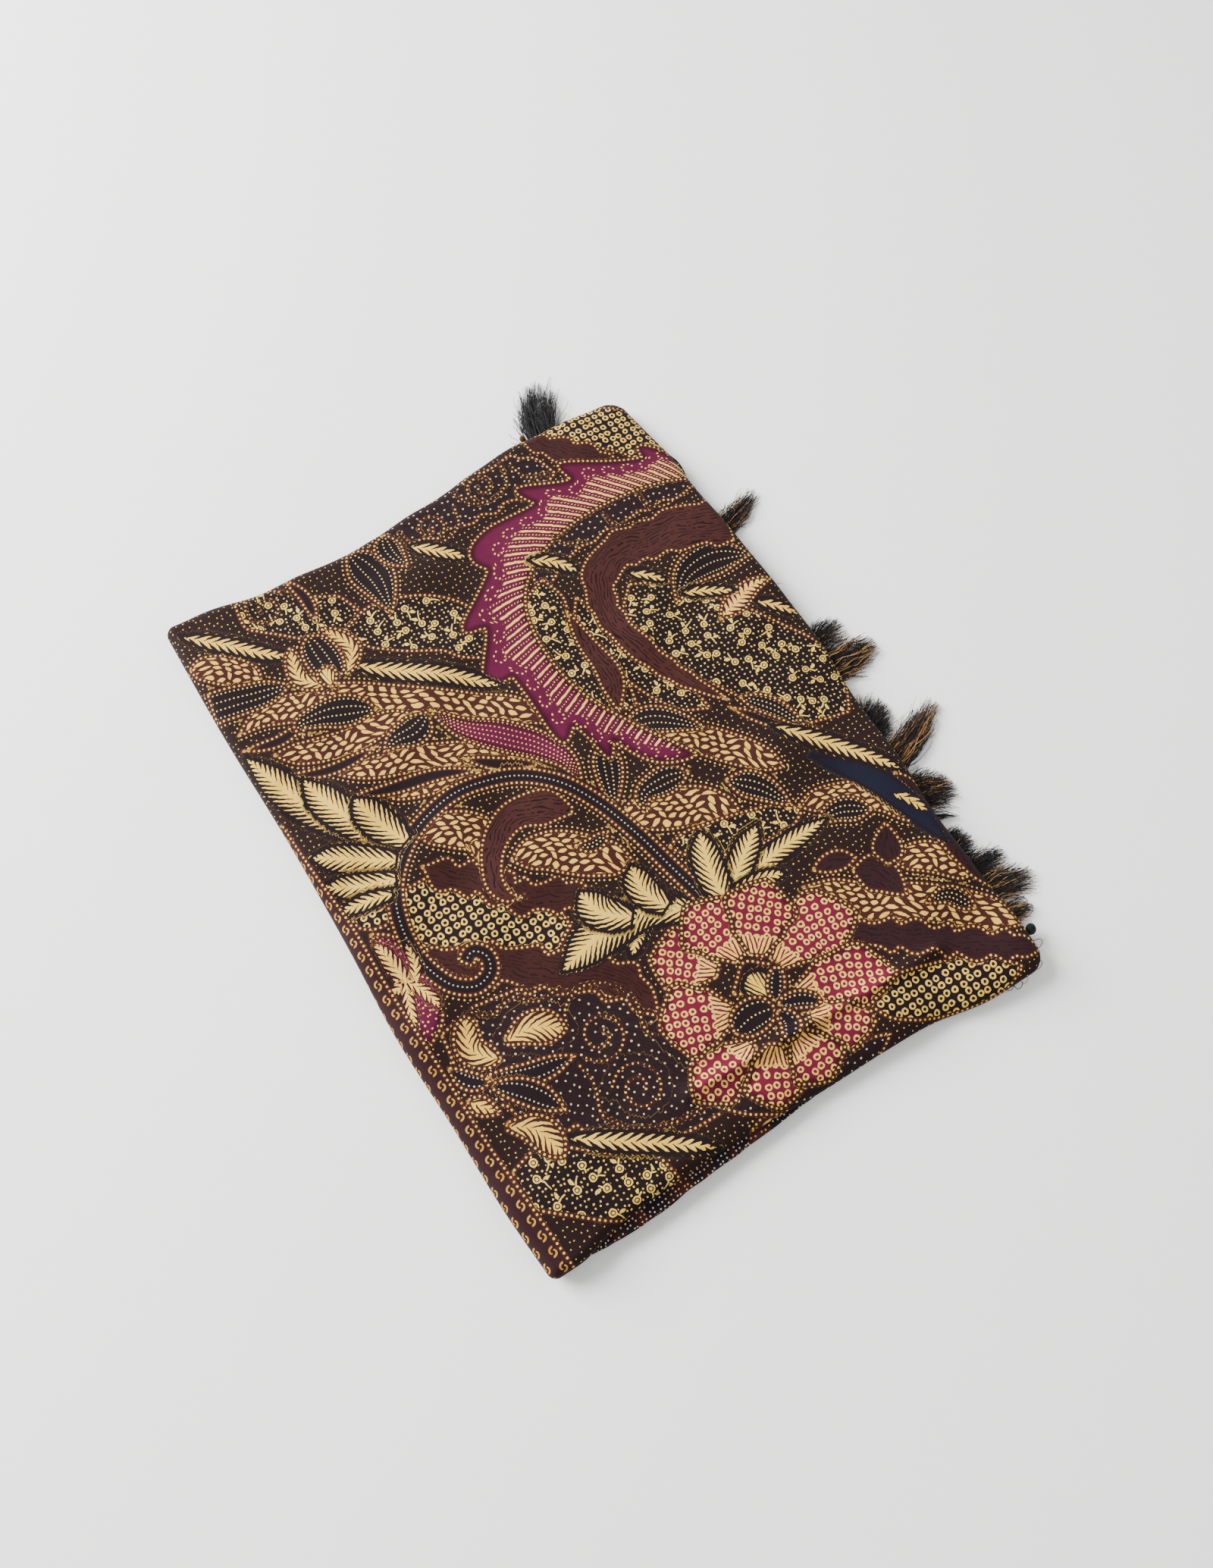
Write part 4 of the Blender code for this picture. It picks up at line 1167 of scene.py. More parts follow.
class PrintGroups:
    """The patterns of the print, each a node group that puts out masks."""

    RING_PITCH = 4.45
    RING_RADIUS = 1.22
    RING_LINE = 0.44
    BERRY_PITCH = 10.4
    BERRY_RADIUS = 1.95
    BERRY_RING = 1.0
    STEM_BEND = 0.075
    STEM_MIDDLE = 4.6
    STEM_HALF = 3.2
    STEM_WIDTH = 0.4
    LEAF_PLACE = (4.2, 1.2)
    LEAF_TURN = (0.8, 0.6)
    GRAIN_CELL = (6.2, 3.5)
    GRAIN_SHIFT = 0.41
    GRAIN_DRIFT = 12.0
    GRAIN_SWING = 1.5
    GRAIN_HALF = 1.12
    GRAIN_TAPER = 0.16
    STROKE_WIDTH = 0.58
    BETWEEN_PITCH = 1.75
    BETWEEN_RADIUS = 0.35
    ROW_PITCH = 2.2
    ROW_RADIUS = 0.41
    BEAD_RADIUS = 0.57
    ECHO = 2.35
    ECHO_RADIUS = 0.46
    ECHO_CLEAR = 1.2
    CURL_PITCH = 9.4
    CURL_RADIUS = 2.8
    CURL_DOTS = 8.0
    CURL_DOT_RADIUS = 0.46
    CURL_OPENING = -0.36
    BORDER_CELL = (8.0, 7.0)
    HOOK_RADIUS = 2.25
    HOOK_WINDING = 1.5
    HATCH_PITCH = 1.75
    THREAD_RATE = 12.5

    def __init__(self) -> None:
        """Builds every group once."""
        self.dots, self.rings, self.berries = self.build_dots(), self.build_rings(), self.build_berries()
        self.grains, self.barbs, self.rows = self.build_grains(), self.build_barbs(), self.build_rows()
        self.curls, self.hooks, self.hatch = self.build_curls(), self.build_hooks(), self.build_hatch()
        self.beads, self.echo, self.weave = self.build_beads(), self.build_echo(), self.build_weave()

    @staticmethod
    def build_dots() -> NodeTree:
        """Scattered round dots: closer to a cell's point than the radius."""
        graph, (place, radius, spread) = new_group("Scattered dots", ["Place"], ["Radius", "Spread"])
        x, y, _ = graph.split(place)
        cell = graph.cells(graph.combine(x / spread, y / spread), 0.5)
        away = Num(graph, cell.outputs["Distance"]) * spread
        return graph.close(Mask=away.below(radius) * radius.above(0.1))

    def build_rings(self) -> NodeTree:
        """Rings: where the distance to a cell's point is near the ring's radius."""
        graph, (place,) = new_group("Rings", ["Place"])
        x, y, _ = graph.split(place)
        cell = graph.cells(graph.combine(x / self.RING_PITCH, y / self.RING_PITCH), 0.26)
        away = Num(graph, cell.outputs["Distance"]) * self.RING_PITCH
        return graph.close(Mask=(away - self.RING_RADIUS).size().below(self.RING_LINE))

    @staticmethod
    def turned_cell(
        graph: Graph, place: object, size: Point, randomness: float, swing: float
    ) -> tuple[Num, Num]:
        """A place seen from its cell's point, in mm, turned by the cell's own random angle.

        Args:
            graph: where to write.
            place: the place, in mm.
            size: the cell's width and height, in mm.
            randomness: how far points stray from their cell's middle.
            swing: the widest turn, in radians.

        Returns:
            The place along and across.
        """
        x, y, _ = graph.split(place)
        scaled = graph.combine(x / size[0], y / size[1])
        cell = graph.cells(scaled, randomness)
        px, py, _ = graph.split(cell.outputs["Position"])
        sx, sy, _ = graph.split(scaled)
        lx, ly = (sx - px) * size[0], (sy - py) * size[1]
        chance, _, _ = graph.split(cell.outputs["Color"])
        return graph.turned(lx, ly, (chance - 0.5) * (2 * swing))

    def build_berries(self) -> NodeTree:
        """Berries, discs with a ring in them, on bent stems with a leaf, and what is kept clear of dots."""
        graph, (place,) = new_group("Berries", ["Place"])
        a, b = self.turned_cell(graph, place, (self.BERRY_PITCH, self.BERRY_PITCH), 0.66, np.pi)
        away = graph.hypot(a, b)
        disc = away.below(self.BERRY_RADIUS) * (1.0 - (away - self.BERRY_RING).size().below(0.26, 0.16))
        bent = (b + a * a * self.STEM_BEND).size()
        span = (a - self.STEM_MIDDLE).size()
        stem = bent.below(self.STEM_WIDTH) * span.below(self.STEM_HALF)
        (leaf_x, leaf_y), (cosine, sine) = self.LEAF_PLACE, self.LEAF_TURN
        leaf_along = (a - leaf_x) * cosine + (b - leaf_y) * sine
        leaf_across = (b - leaf_y) * cosine - (a - leaf_x) * sine
        leaf = leaf_across.size().below(0.85 - leaf_along * leaf_along * 0.26)
        clear = away.below(2.6).most(bent.below(1.2) * span.below(3.4))
        return graph.close(Mask=disc.most(stem).most(leaf), Clear=clear)

    def build_grains(self) -> NodeTree:
        """Grains of rice: one pointed oval in each cell of a wandering brick pattern, turned at random."""
        graph, (place,) = new_group("Grains", ["Place"])
        x, y, _ = graph.split(place)
        drift = graph.node("TexNoise", {"Vector": place, "Scale": 0.04, "Detail": 0.0})
        dx, dy, _ = graph.split(drift.outputs["Color"])
        row = (y + dy * self.GRAIN_DRIFT) / self.GRAIN_CELL[1]
        row_number = graph.math("FLOOR", row)
        column = (x + dx * self.GRAIN_DRIFT) / self.GRAIN_CELL[0] + row_number * self.GRAIN_SHIFT
        cell = graph.combine(graph.math("FLOOR", column), row_number)
        chance = graph.node("TexWhiteNoise", {"Vector": cell}, noise_dimensions="2D")
        c, d, e = graph.split(chance.outputs["Color"])
        a = (column.centred() + (c - 0.5) * 0.1) * self.GRAIN_CELL[0]
        b = (row.centred() + (d - 0.5) * 0.14) * self.GRAIN_CELL[1]
        along, across = graph.turned(a, b, (e - 0.5) * self.GRAIN_SWING)
        return graph.close(Mask=across.size().below(self.GRAIN_HALF - along * along * self.GRAIN_TAPER))

    def build_barbs(self) -> NodeTree:
        """Barbs that leave a spine at a slant, with rounded ends of uneven length.

        A barb's axis is where the length along the spine, less the distance across times the slant, is a
        whole number of pitches. Strokes are even; a feather's barbs start as one body and taper past its
        core. Between strokes that say so run rows of dots.
        """
        graph, (place, barbs, core, dotted) = new_group("Barbs", ["Place", "Barbs"], ["Core", "Dotted"])
        along, across, _ = graph.split(place)
        pitch, slant, progress = graph.split(barbs)
        side = across.above(0.0)
        drawn = pitch.above(1.0)
        pitch = pitch.most(1.0)
        phase = (along - across.size() * slant) / pitch + side * 0.5
        number = graph.combine(graph.math("FLOOR", phase), side)
        noise = graph.node("TexWhiteNoise", {"Vector": number}, noise_dimensions="2D")
        chance = Num(graph, noise.outputs["Value"])
        square = graph.math("SQRT", slant * slant + 1.0)
        gap = pitch / square
        off = phase.centred().size() * gap
        past = (progress - core) / (0.92 - core)
        body = (core - progress).above(0.0)
        feather = gap * (0.43 - past * 0.31) + body * 9.0
        stroke = (gap * 0.30).least(self.STROKE_WIDTH)
        plumed = core.above(0.02)
        half = feather * plumed + stroke * (1.0 - plumed)
        tip = off / gap * 2.0
        ends = (progress - chance * 0.1 + tip * tip * plumed * 0.45).below(0.94, 0.06)
        barb = off.below(half) * ends
        beside = (phase + 0.5).centred() * gap
        step = (across * square / self.BETWEEN_PITCH).centred() * self.BETWEEN_PITCH
        between = graph.hypot(beside, step).below(self.BETWEEN_RADIUS) * progress.below(1.1)
        return graph.close(Mask=barb.most(between * dotted.above(0.5)) * drawn)

    def build_rows(self) -> NodeTree:
        """Rows of dots along a spine, smaller as the shape narrows."""
        graph, (place, rows) = new_group("Rows of dots", ["Place", "Rows"])
        along, _, _ = graph.split(place)
        spacing, row, _ = graph.split(rows)
        odd = graph.math("MODULO", graph.math("FLOOR", row), 2.0) * 0.5
        step = (along / self.ROW_PITCH + odd).centred() * self.ROW_PITCH
        away = graph.hypot(step, row.centred() * spacing)
        return graph.close(Mask=away.below((spacing * 0.3).least(self.ROW_RADIUS)) * spacing.above(0.5))

    def build_curls(self) -> NodeTree:
        """A row of open curls of dots: dots on a circle, a share of its round left out."""
        graph, (place, b) = new_group("Dotted curls", ["Place"], ["Offset"])
        along, _, _ = graph.split(place)
        a = (along / self.CURL_PITCH).centred() * self.CURL_PITCH
        turn = graph.math("ARCTAN2", b, a) / (2 * np.pi)
        step = (turn * self.CURL_DOTS).centred() * (2 * np.pi * self.CURL_RADIUS / self.CURL_DOTS)
        dot = graph.hypot(graph.hypot(a, b) - self.CURL_RADIUS, step).below(self.CURL_DOT_RADIUS)
        return graph.close(Mask=dot * turn.above(self.CURL_OPENING))

    def build_hooks(self) -> NodeTree:
        """The border's pairs of commas: a spiral of two arms, each winding in over half a turn."""
        graph, (place,) = new_group("Border hooks", ["Place"])
        along, across, _ = graph.split(place)
        column = across / self.BORDER_CELL[1]
        odd = graph.math("MODULO", graph.math("FLOOR", column).size(), 2.0) * 0.5
        a = (along / self.BORDER_CELL[0] + odd).centred() * self.BORDER_CELL[0]
        b = column.centred() * self.BORDER_CELL[1]
        turn = graph.math("FRACT", graph.math("ARCTAN2", b, a) / np.pi + 0.2)
        arm = (graph.hypot(a, b) - self.HOOK_RADIUS + turn * self.HOOK_WINDING).size()
        return graph.close(Mask=arm.below(0.5 - turn * 0.15) * (turn - 0.5).size().below(0.44, 0.05))

    def build_hatch(self) -> NodeTree:
        """Broken dark dashes of uneven length along a spine, in rows that wander."""
        graph, (place,) = new_group("Hatching", ["Place"])
        along, across, _ = graph.split(place)
        wander = graph.noise(graph.combine(along * 0.05, across * 0.1), 1.0) * 5.0
        row = across / self.HATCH_PITCH + wander
        dash = graph.noise(graph.combine(along * 0.22, graph.math("FLOOR", row) * 3.7), 1.0)
        return graph.close(Mask=row.centred().size().below(0.15, 0.13) * dash.above(0.45))

    def build_beads(self) -> NodeTree:
        """A beaded dark line on a signed distance of zero; a plain one lies mostly outside its motif."""
        graph, (line,) = new_group("Beaded line", ["Line"])
        distance, count, kind = graph.split(line)
        shift = (0.4 - kind).most(0.0)
        away = graph.hypot(count.centred() * BEAD_PITCH, distance)
        ribbon = (distance - shift).size().below(kind * 0.5 + 0.7, 0.2)
        return graph.close(Ribbon=ribbon, Bead=away.below(self.BEAD_RADIUS) * kind.above(0.5))

    def build_echo(self) -> NodeTree:
        """A second row of smaller beads that follows an outline on the open ground."""
        graph, (contour,) = new_group("Echoed line", ["Contour"])
        distance, count, open_ground = graph.split(contour)
        away = graph.hypot(count.centred() * BEAD_PITCH, distance - self.ECHO)
        far = distance.above(self.ECHO + self.ECHO_CLEAR) * open_ground
        return graph.close(Bead=away.below(self.ECHO_RADIUS) * open_ground.above(0.6), Far=far)

    def build_weave(self) -> NodeTree:
        """A plain weave: two sine waves multiplied, with slubs of slow noise along both ways."""
        graph, (place,) = new_group("Plain weave", ["Place"])
        x, y, _ = graph.split(place)
        threads = graph.math("SINE", x * self.THREAD_RATE) * graph.math("SINE", y * self.THREAD_RATE)
        slub = graph.noise(graph.combine(x * 2.6, y * 0.12), 1.0)
        slub = slub + graph.noise(graph.combine(x * 0.12, y * 2.6), 1.0)
        return graph.close(Height=threads * 0.5 + slub * 0.5, Shade=slub * 0.5 + threads * 0.04)


@dataclass(frozen=True)
class SoftFinish:
    """What the finishes of cloth and yarn share: soft matt fibres with a fine relief."""

    roughness: float = 0.78
    specular: float = 0.05
    sheen: float = 0.03
    bump: float = 0.35
    sheen_roughness: float = 0.5
    thread_height: float = 0.12 * MM

    def apply(self, graph: Graph, shader: Node, colour: object, height: Num) -> None:
        """Gives the shader its plain values, its colour and its bump.

        Args:
            graph: the material's graph.
            shader: its shader.
            colour: its colour.
            height: the height of its threads, in threads.
        """
        bump = graph.node("Bump", {"Height": height, "Strength": self.bump, "Distance": self.thread_height})
        values = {
            "Base Color": colour,
            "Normal": bump.outputs["Normal"],
            "Roughness": self.roughness,
            "Sheen Weight": self.sheen,
            "Sheen Roughness": self.sheen_roughness,
            "Specular IOR Level": self.specular,
        }
        for name, value in values.items():
            graph.plug(shader.inputs[name], value)


@dataclass(frozen=True)
class BatikFinish(SoftFinish):
    """The printed face of the cloth: soft matt rayon, with the dye a little uneven and the ink broken."""

    def build(self, groups: PrintGroups) -> Material:
        """Makes the material from the print's patterns."""
        material, graph, shader = new_material("Batik print")
        place = graph.attribute("place")
        surface = graph.surface()
        p, q, inset = graph.split(place)
        wander = graph.node("TexNoise", {"Vector": surface, "Scale": 0.42, "Detail": 1.0})
        wx, wy, _ = graph.split(wander.outputs["Color"])
        drawn = graph.combine(p + (wx - 0.5) * 0.9, q + (wy - 0.5) * 0.9, inset)
        radius, spread, border = graph.split(graph.attribute("scatter"))
        rings, grains, berries = graph.split(graph.attribute("fields"))
        rows = graph.attribute("rows")
        _, _, hatch = graph.split(rows)
        core, curl, ink = graph.split(graph.attribute("extra"))
        contour = graph.attribute("contour")
        _, _, open_ground = graph.split(contour)
        echo, far = graph.use(groups.echo, Contour=contour)
        berry, clear = graph.use(groups.berries, Place=drawn)
        dots = graph.use(groups.dots, Place=drawn, Radius=radius, Spread=spread)[0]
        dots = dots * (1.0 - clear * berries) * (far + (1.0 - open_ground)).least(1.0)
        dotted = 1.0 - curl.above(FAR_AWAY - 0.5)
        inked = graph.most(
            dots,
            berry * berries.above(0.5),
            graph.use(groups.rings, Place=drawn)[0] * rings.above(0.5),
            graph.use(groups.grains, Place=drawn)[0] * grains.above(0.5),
            graph.use(groups.barbs, Place=drawn, Barbs=graph.attribute("barbs"), Core=core, Dotted=dotted)[0],
            graph.use(groups.rows, Place=place, Rows=rows)[0],
            graph.use(groups.curls, Place=place, Offset=curl)[0],
            graph.use(groups.hooks, Place=place)[0] * border.above(0.5),
            echo,
        )
        mottle = graph.noise(surface, 0.16, 3.0)
        grit = graph.noise(surface, 2.4, 2.0)
        dashes = graph.use(groups.hatch, Place=drawn)[0] * hatch
        ground = graph.mix(dashes * 0.85, graph.attribute("dye"), rgba(HATCH_COLOUR))
        tone = ink * 0.5 + 0.5 + (mottle - 0.5) * 0.5
        colour = graph.mix(inked, ground, self.ink_colour(graph, tone))
        for channel in range(LINE_CHANNELS):
            line = graph.attribute(f"line_{channel}")
            ribbon, bead = graph.use(groups.beads, Line=line)
            _, _, kind = graph.split(line)
            ribbon_colour = graph.mix(kind, rgba(Dye.NIGHT.value), rgba(Dye.BROWN.value))
            colour = graph.mix(ribbon, colour, ribbon_colour)
            colour = graph.mix(bead, colour, self.ink_colour(graph, (mottle - 0.5) * 1.2 + 0.54))
        height, shade = graph.use(groups.weave, Place=surface)
        colour = graph.worn(colour, (mottle - 0.5) * 0.22 + (grit - 0.5) * 0.22 + shade * 0.35 + 0.74)
        self.apply(graph, shader, colour, height + graph.noise(surface, 0.35, 3.0) * 2.5)
        return material

    @staticmethod
    def ink_colour(graph: Graph, tone: Num) -> NodeSocket:
        """The ink from pale through cream yellow to orange gold."""
        return graph.ramp(tone, (
            (0.0, (0.64, 0.61, 0.56)), (0.3, (0.82, 0.71, 0.39)),
            (0.5, (0.82, 0.66, 0.28)), (1.0, (0.60, 0.37, 0.13))))


@dataclass(frozen=True)
class FoldedFinish(SoftFinish):
    """The same cloth where only its folded edges show: patches of dark ground with small dots."""

    bump: float = 0.3

    def build(self, groups: PrintGroups) -> Material:
        """Makes the material from the print's patterns."""
        material, graph, shader = new_material("Folded cloth edges")
        place = graph.attribute("place")
        along, _, layer = graph.split(place)
        dots = graph.use(groups.dots, Place=place, Radius=0.42, Spread=2.4)[0]
        patch = graph.noise(graph.combine(along, layer * 40.0), 0.05, 2.0)
        shade = graph.ramp(patch, (
            (0.30, (0.065, 0.060, 0.090)), (0.50, (0.095, 0.065, 0.085)),
            (0.58, (0.220, 0.105, 0.095)), (0.72, (0.130, 0.075, 0.090))))
        figure = graph.ramp(patch, ((0.35, (0.70, 0.68, 0.66)), (0.60, (0.74, 0.54, 0.26))))
        colour = graph.mix(dots * 0.9, shade, figure)
        height, weave = graph.use(groups.weave, Place=place)
        colour = graph.worn(colour, graph.noise(place, 0.3, 3.0) * 0.3 + weave * 0.3 + 0.7)
        self.apply(graph, shader, colour, height + graph.noise(place, 0.5, 3.0) * 2.0)
        return material


@dataclass(frozen=True)
class YarnFinish(SoftFinish):
    """Loose spun yarn: charcoal strands, with brown, orange and cream ones among them."""

    roughness: float = 0.8
    specular: float = 0.15
    sheen: float = 0.1
    bump: float = 0.4

    def build(self) -> Material:
        """Makes the material."""
        material, graph, shader = new_material("Fringe yarn")
        chance, along, warmth = graph.split(graph.attribute("strand"))
        surface = graph.surface()
        fibres = graph.noise(surface, 1.6, 3.0)
        tone = chance + warmth + (fibres - 0.5) * 0.25
        colour = graph.ramp(tone, (
            (0.0, (0.030, 0.030, 0.038)), (0.70, (0.070, 0.062, 0.072)), (0.90, (0.15, 0.095, 0.078)),
            (1.02, (0.40, 0.23, 0.11)), (1.14, (0.62, 0.47, 0.28))))
        colour = graph.worn(colour, fibres * 0.6 + along * 0.15 + 0.7)
        self.apply(graph, shader, colour, graph.noise(surface, 3.0, 2.0))
        return material


@dataclass(frozen=True)
class FloorFinish:
    """A plain pale floor."""

    colour: Triple = (0.93, 0.93, 0.925)
    roughness: float = 0.9

    def build(self) -> Material:
        """Makes the material, a matt paint with a trace of grain."""
        material, graph, shader = new_material("Pale floor")
        grain = graph.noise(graph.node("TexCoord").outputs["Object"], 60.0, 3.0) * 0.02 + 0.99
        graph.plug(shader.inputs["Base Color"], graph.worn(rgba(self.colour), grain))
        graph.plug(shader.inputs["Roughness"], self.roughness)
        return material


def new_material(name: str) -> tuple[Material, Graph, Node]:
    """A material with its node graph and its shader."""
    material = bpy.data.materials.new(name)
    material.use_nodes = True
    return material, Graph(material.node_tree), material.node_tree.nodes["Principled BSDF"]


# The pieces


@dataclass
class ClothPanel:
    """The printed top of the folded sarong: a thin shell that turns down round the stack."""

    columns: int = 230
    rows: int = 296
    corner_steps: int = 14
    turn_steps: int = 20
    inner_steps: int = 3

    def build(self, material: Material) -> Object:
        """Builds the shell and draws its print.

        The outer face is the grid of the flat top and the rings of its rounded edge. The wall goes round
        the hem and back up inside, where one flat face closes it.

        Args:
            material: the printed finish.

        Returns:
            The object.
        """
        form = StackForm(self.columns, self.rows, self.corner_steps)
        draft = MeshDraft()
        flat = form.flat_points(0)
        draft.grid(draft.add(flat).reshape(form.grid.shape))
        surface = [flat[:, :2] / MM]
        top = flat[form.base, 2]
        previous, before = form.base, flat[form.base]
        run = np.zeros(len(form.base))
        for step in range(1, self.turn_steps + 1):
            ring = form.turned(0, form.turn * step / self.turn_steps, top)
            numbers = draft.add(ring)
            draft.strip(previous, numbers)
            run = run + np.linalg.norm(ring - before, axis=1)
            surface.append((form.edge_xy + form.direction * run[:, None]) / MM)
            previous, before = numbers, ring
        outer = draft.count
        for step in range(self.inner_steps, 0, -1):
            ring = form.turned(CLOTH_WALL, form.turn * step / self.inner_steps, top - CLOTH_WALL)
            numbers = draft.add(ring)
            draft.strip(previous, numbers)
            previous = numbers
        ceiling = draft.add(columns(*flat[form.order, :2].T, flat[:, 2].min() - CEILING_GAP))
        draft.strip(ceiling[form.slots], previous, inward=True)
        draft.face(ceiling[::-1])
        cloth = BatikPrint(np.concatenate(surface))
        for motif in MOTIFS:
            cloth.draw(motif)
        layers = {
            name: np.concatenate([values, np.repeat(values[-1:], draft.count - outer, axis=0)])
            for name, values in cloth.layers().items()
        }
        return draft.build("batik_panel", material, layers)


@dataclass
class FoldedLayers:
    """The hidden layers of the sarong as one rounded body, with a stack of thin folds at its edges."""

    columns: int = 92
    rows: int = 124
    corner_steps: int = 8
    core_steps: int = 3
    folds: int = 8
    groove: float = 0.75 * MM
    stagger: float = 0.3 * MM
    waviness: float = 0.22 * MM
    wave_mm: Point = (20, 70)
    unevenness: float = 0.3
    lid_run: float = 30.0
    seed: int = 5
    rounding: tuple[float, ...] = (0.03, 0.25, 0.5, 0.75, 0.97)

    def build(self, material: Material) -> Object:
        """Builds the folds.

        The core turns down under the panel. Below it each fold stands out from its groove by the sine of
        its own height, and wanders along the edge by slow sine waves.

        Args:
            material: the finish of the folded edges.

        Returns:
            The object.
        """
        form = StackForm(self.columns, self.rows, self.corner_steps)
        draft = MeshDraft()
        grid_xy = np.stack([form.x.ravel(), form.y.ravel()], axis=1)[form.order]
        level = STACK_HEIGHT - LAYERS_BELOW_TOP
        lid = draft.add(columns(*grid_xy.T, level))
        draft.face(lid)
        steps = np.linalg.norm(np.diff(form.edge_xy, axis=0, prepend=form.edge_xy[-1:]), axis=1)
        around = np.cumsum(steps) / MM
        lid_around = np.zeros(len(lid))
        lid_around[form.slots] = around
        coordinates = [columns(lid_around, self.lid_run, 0.0)]
        previous = lid[form.slots]
        last = None
        run = np.zeros(len(around))

        def add_ring(ring: Array, fold: float) -> None:
            """Adds one ring and the faces up to the one before."""
            nonlocal previous, last, run
            numbers = draft.add(ring)
            draft.strip(previous, numbers)
            run = run if last is None else run + np.linalg.norm(ring - last, axis=1) / MM
            coordinates.append(columns(around, run, fold))
            previous, last = numbers, ring

        turn = np.minimum(form.turn, CORE_TURN)
        for step in range(1, self.core_steps + 1):
            add_ring(form.turned(LAYERS_BELOW_TOP, turn * step / self.core_steps, level), 0.0)
        edge = last
        side_out = ((edge[:, :2] - form.edge_xy) * form.direction).sum(axis=1)
        foot_out = form.reach - form.foot
        thickness = (edge[:, 2] - LAYER_DROP) / self.folds
        random = np.random.default_rng(self.seed)
        for fold in range(self.folds):
            above = edge[:, 2] - LAYER_DROP - fold * thickness
            waves = random.uniform(*self.wave_mm, 3)
            phases = random.uniform(0, 2 * np.pi, 3)
            wander = np.sin(around[:, None] * 2 * np.pi / waves + phases).sum(axis=1) * self.waviness
            proud = foot_out + wander - self.stagger * (fold % 2)
            proud = proud - self.groove * self.unevenness * random.random()
            for share in self.rounding:
                out = proud - self.groove * (1 - np.sin(np.pi * share))
                if fold == 0 and share == self.rounding[0]:
                    out = np.minimum(out, side_out - self.groove)
                xy = form.edge_xy + form.direction * out[:, None]
                add_ring(np.column_stack([xy, above - share * thickness]), fold + 1.0)
        foot = form.edge_xy + form.direction * (foot_out - FOOT_INSET)[:, None]
        add_ring(columns(*foot.T, 0.0), self.folds)
        draft.face(previous[::-1])
        return draft.build("folded_layers", material, {"place": np.concatenate(coordinates)})


@dataclass(frozen=True)
class Tassel:
    """One lock of fringe, rooted under the edge of a side.

    along and width: its head's place along the side and its width, tip: where its middle strand ends, spread:
    its width at the tips, all in mm. warmth: how far its yarn leans to brown and cream.
    """

    side: str
    along: float
    width: float
    tip: Point
    spread: float
    warmth: float = 0.0


TASSELS = (
    Tassel("far", 90, 18, (105, 228), 32, -0.45), Tassel("right", 88, 11, (173, 99), 17),
    Tassel("right", 6, 10, (165, 8), 21, -0.1), Tassel("right", -11, 18, (173, -10), 24, 0.12),
    Tassel("right", -50, 17, (156, -43), 30, -0.12), Tassel("right", -72, 15, (179, -56), 20, 0.22),
    Tassel("right", -91, 19, (158, -96), 30, 0.06), Tassel("right", -105, 3, (149, -111), 3, -0.2),
    Tassel("right", -123, 13, (148, -124), 20, -0.2), Tassel("right", -137, 10, (157, -139), 18, -0.1),
    Tassel("right", -150, 13, (162, -155), 24, 0.08), Tassel("right", -165, 9, (151, -168), 14, 0.25),
)


def rim_place(side: str, along: float) -> tuple[Array, float, Array, Array]:
    """The outline at a place along the right or far side, in mm.

    Args:
        side: right or far.
        along: the place, in mm.

    Returns:
        The outline's point, how far the layers below lie inside it, and its outward and sideways directions.
    """
    rows = RIGHT_SIDE if side == "right" else FAR_SIDE
    out = float(table_value(rows, "out", np.array(along * MM)))
    foot = float(table_value(rows, "foot", np.array(along * MM)))
    if side == "right":
        return np.array([HALF_X / MM + out, along]), foot, np.array([1.0, 0.0]), np.array([0.0, 1.0])
    return np.array([along, HALF_Y / MM + out]), foot, np.array([0.0, 1.0]), np.array([-1.0, 0.0])


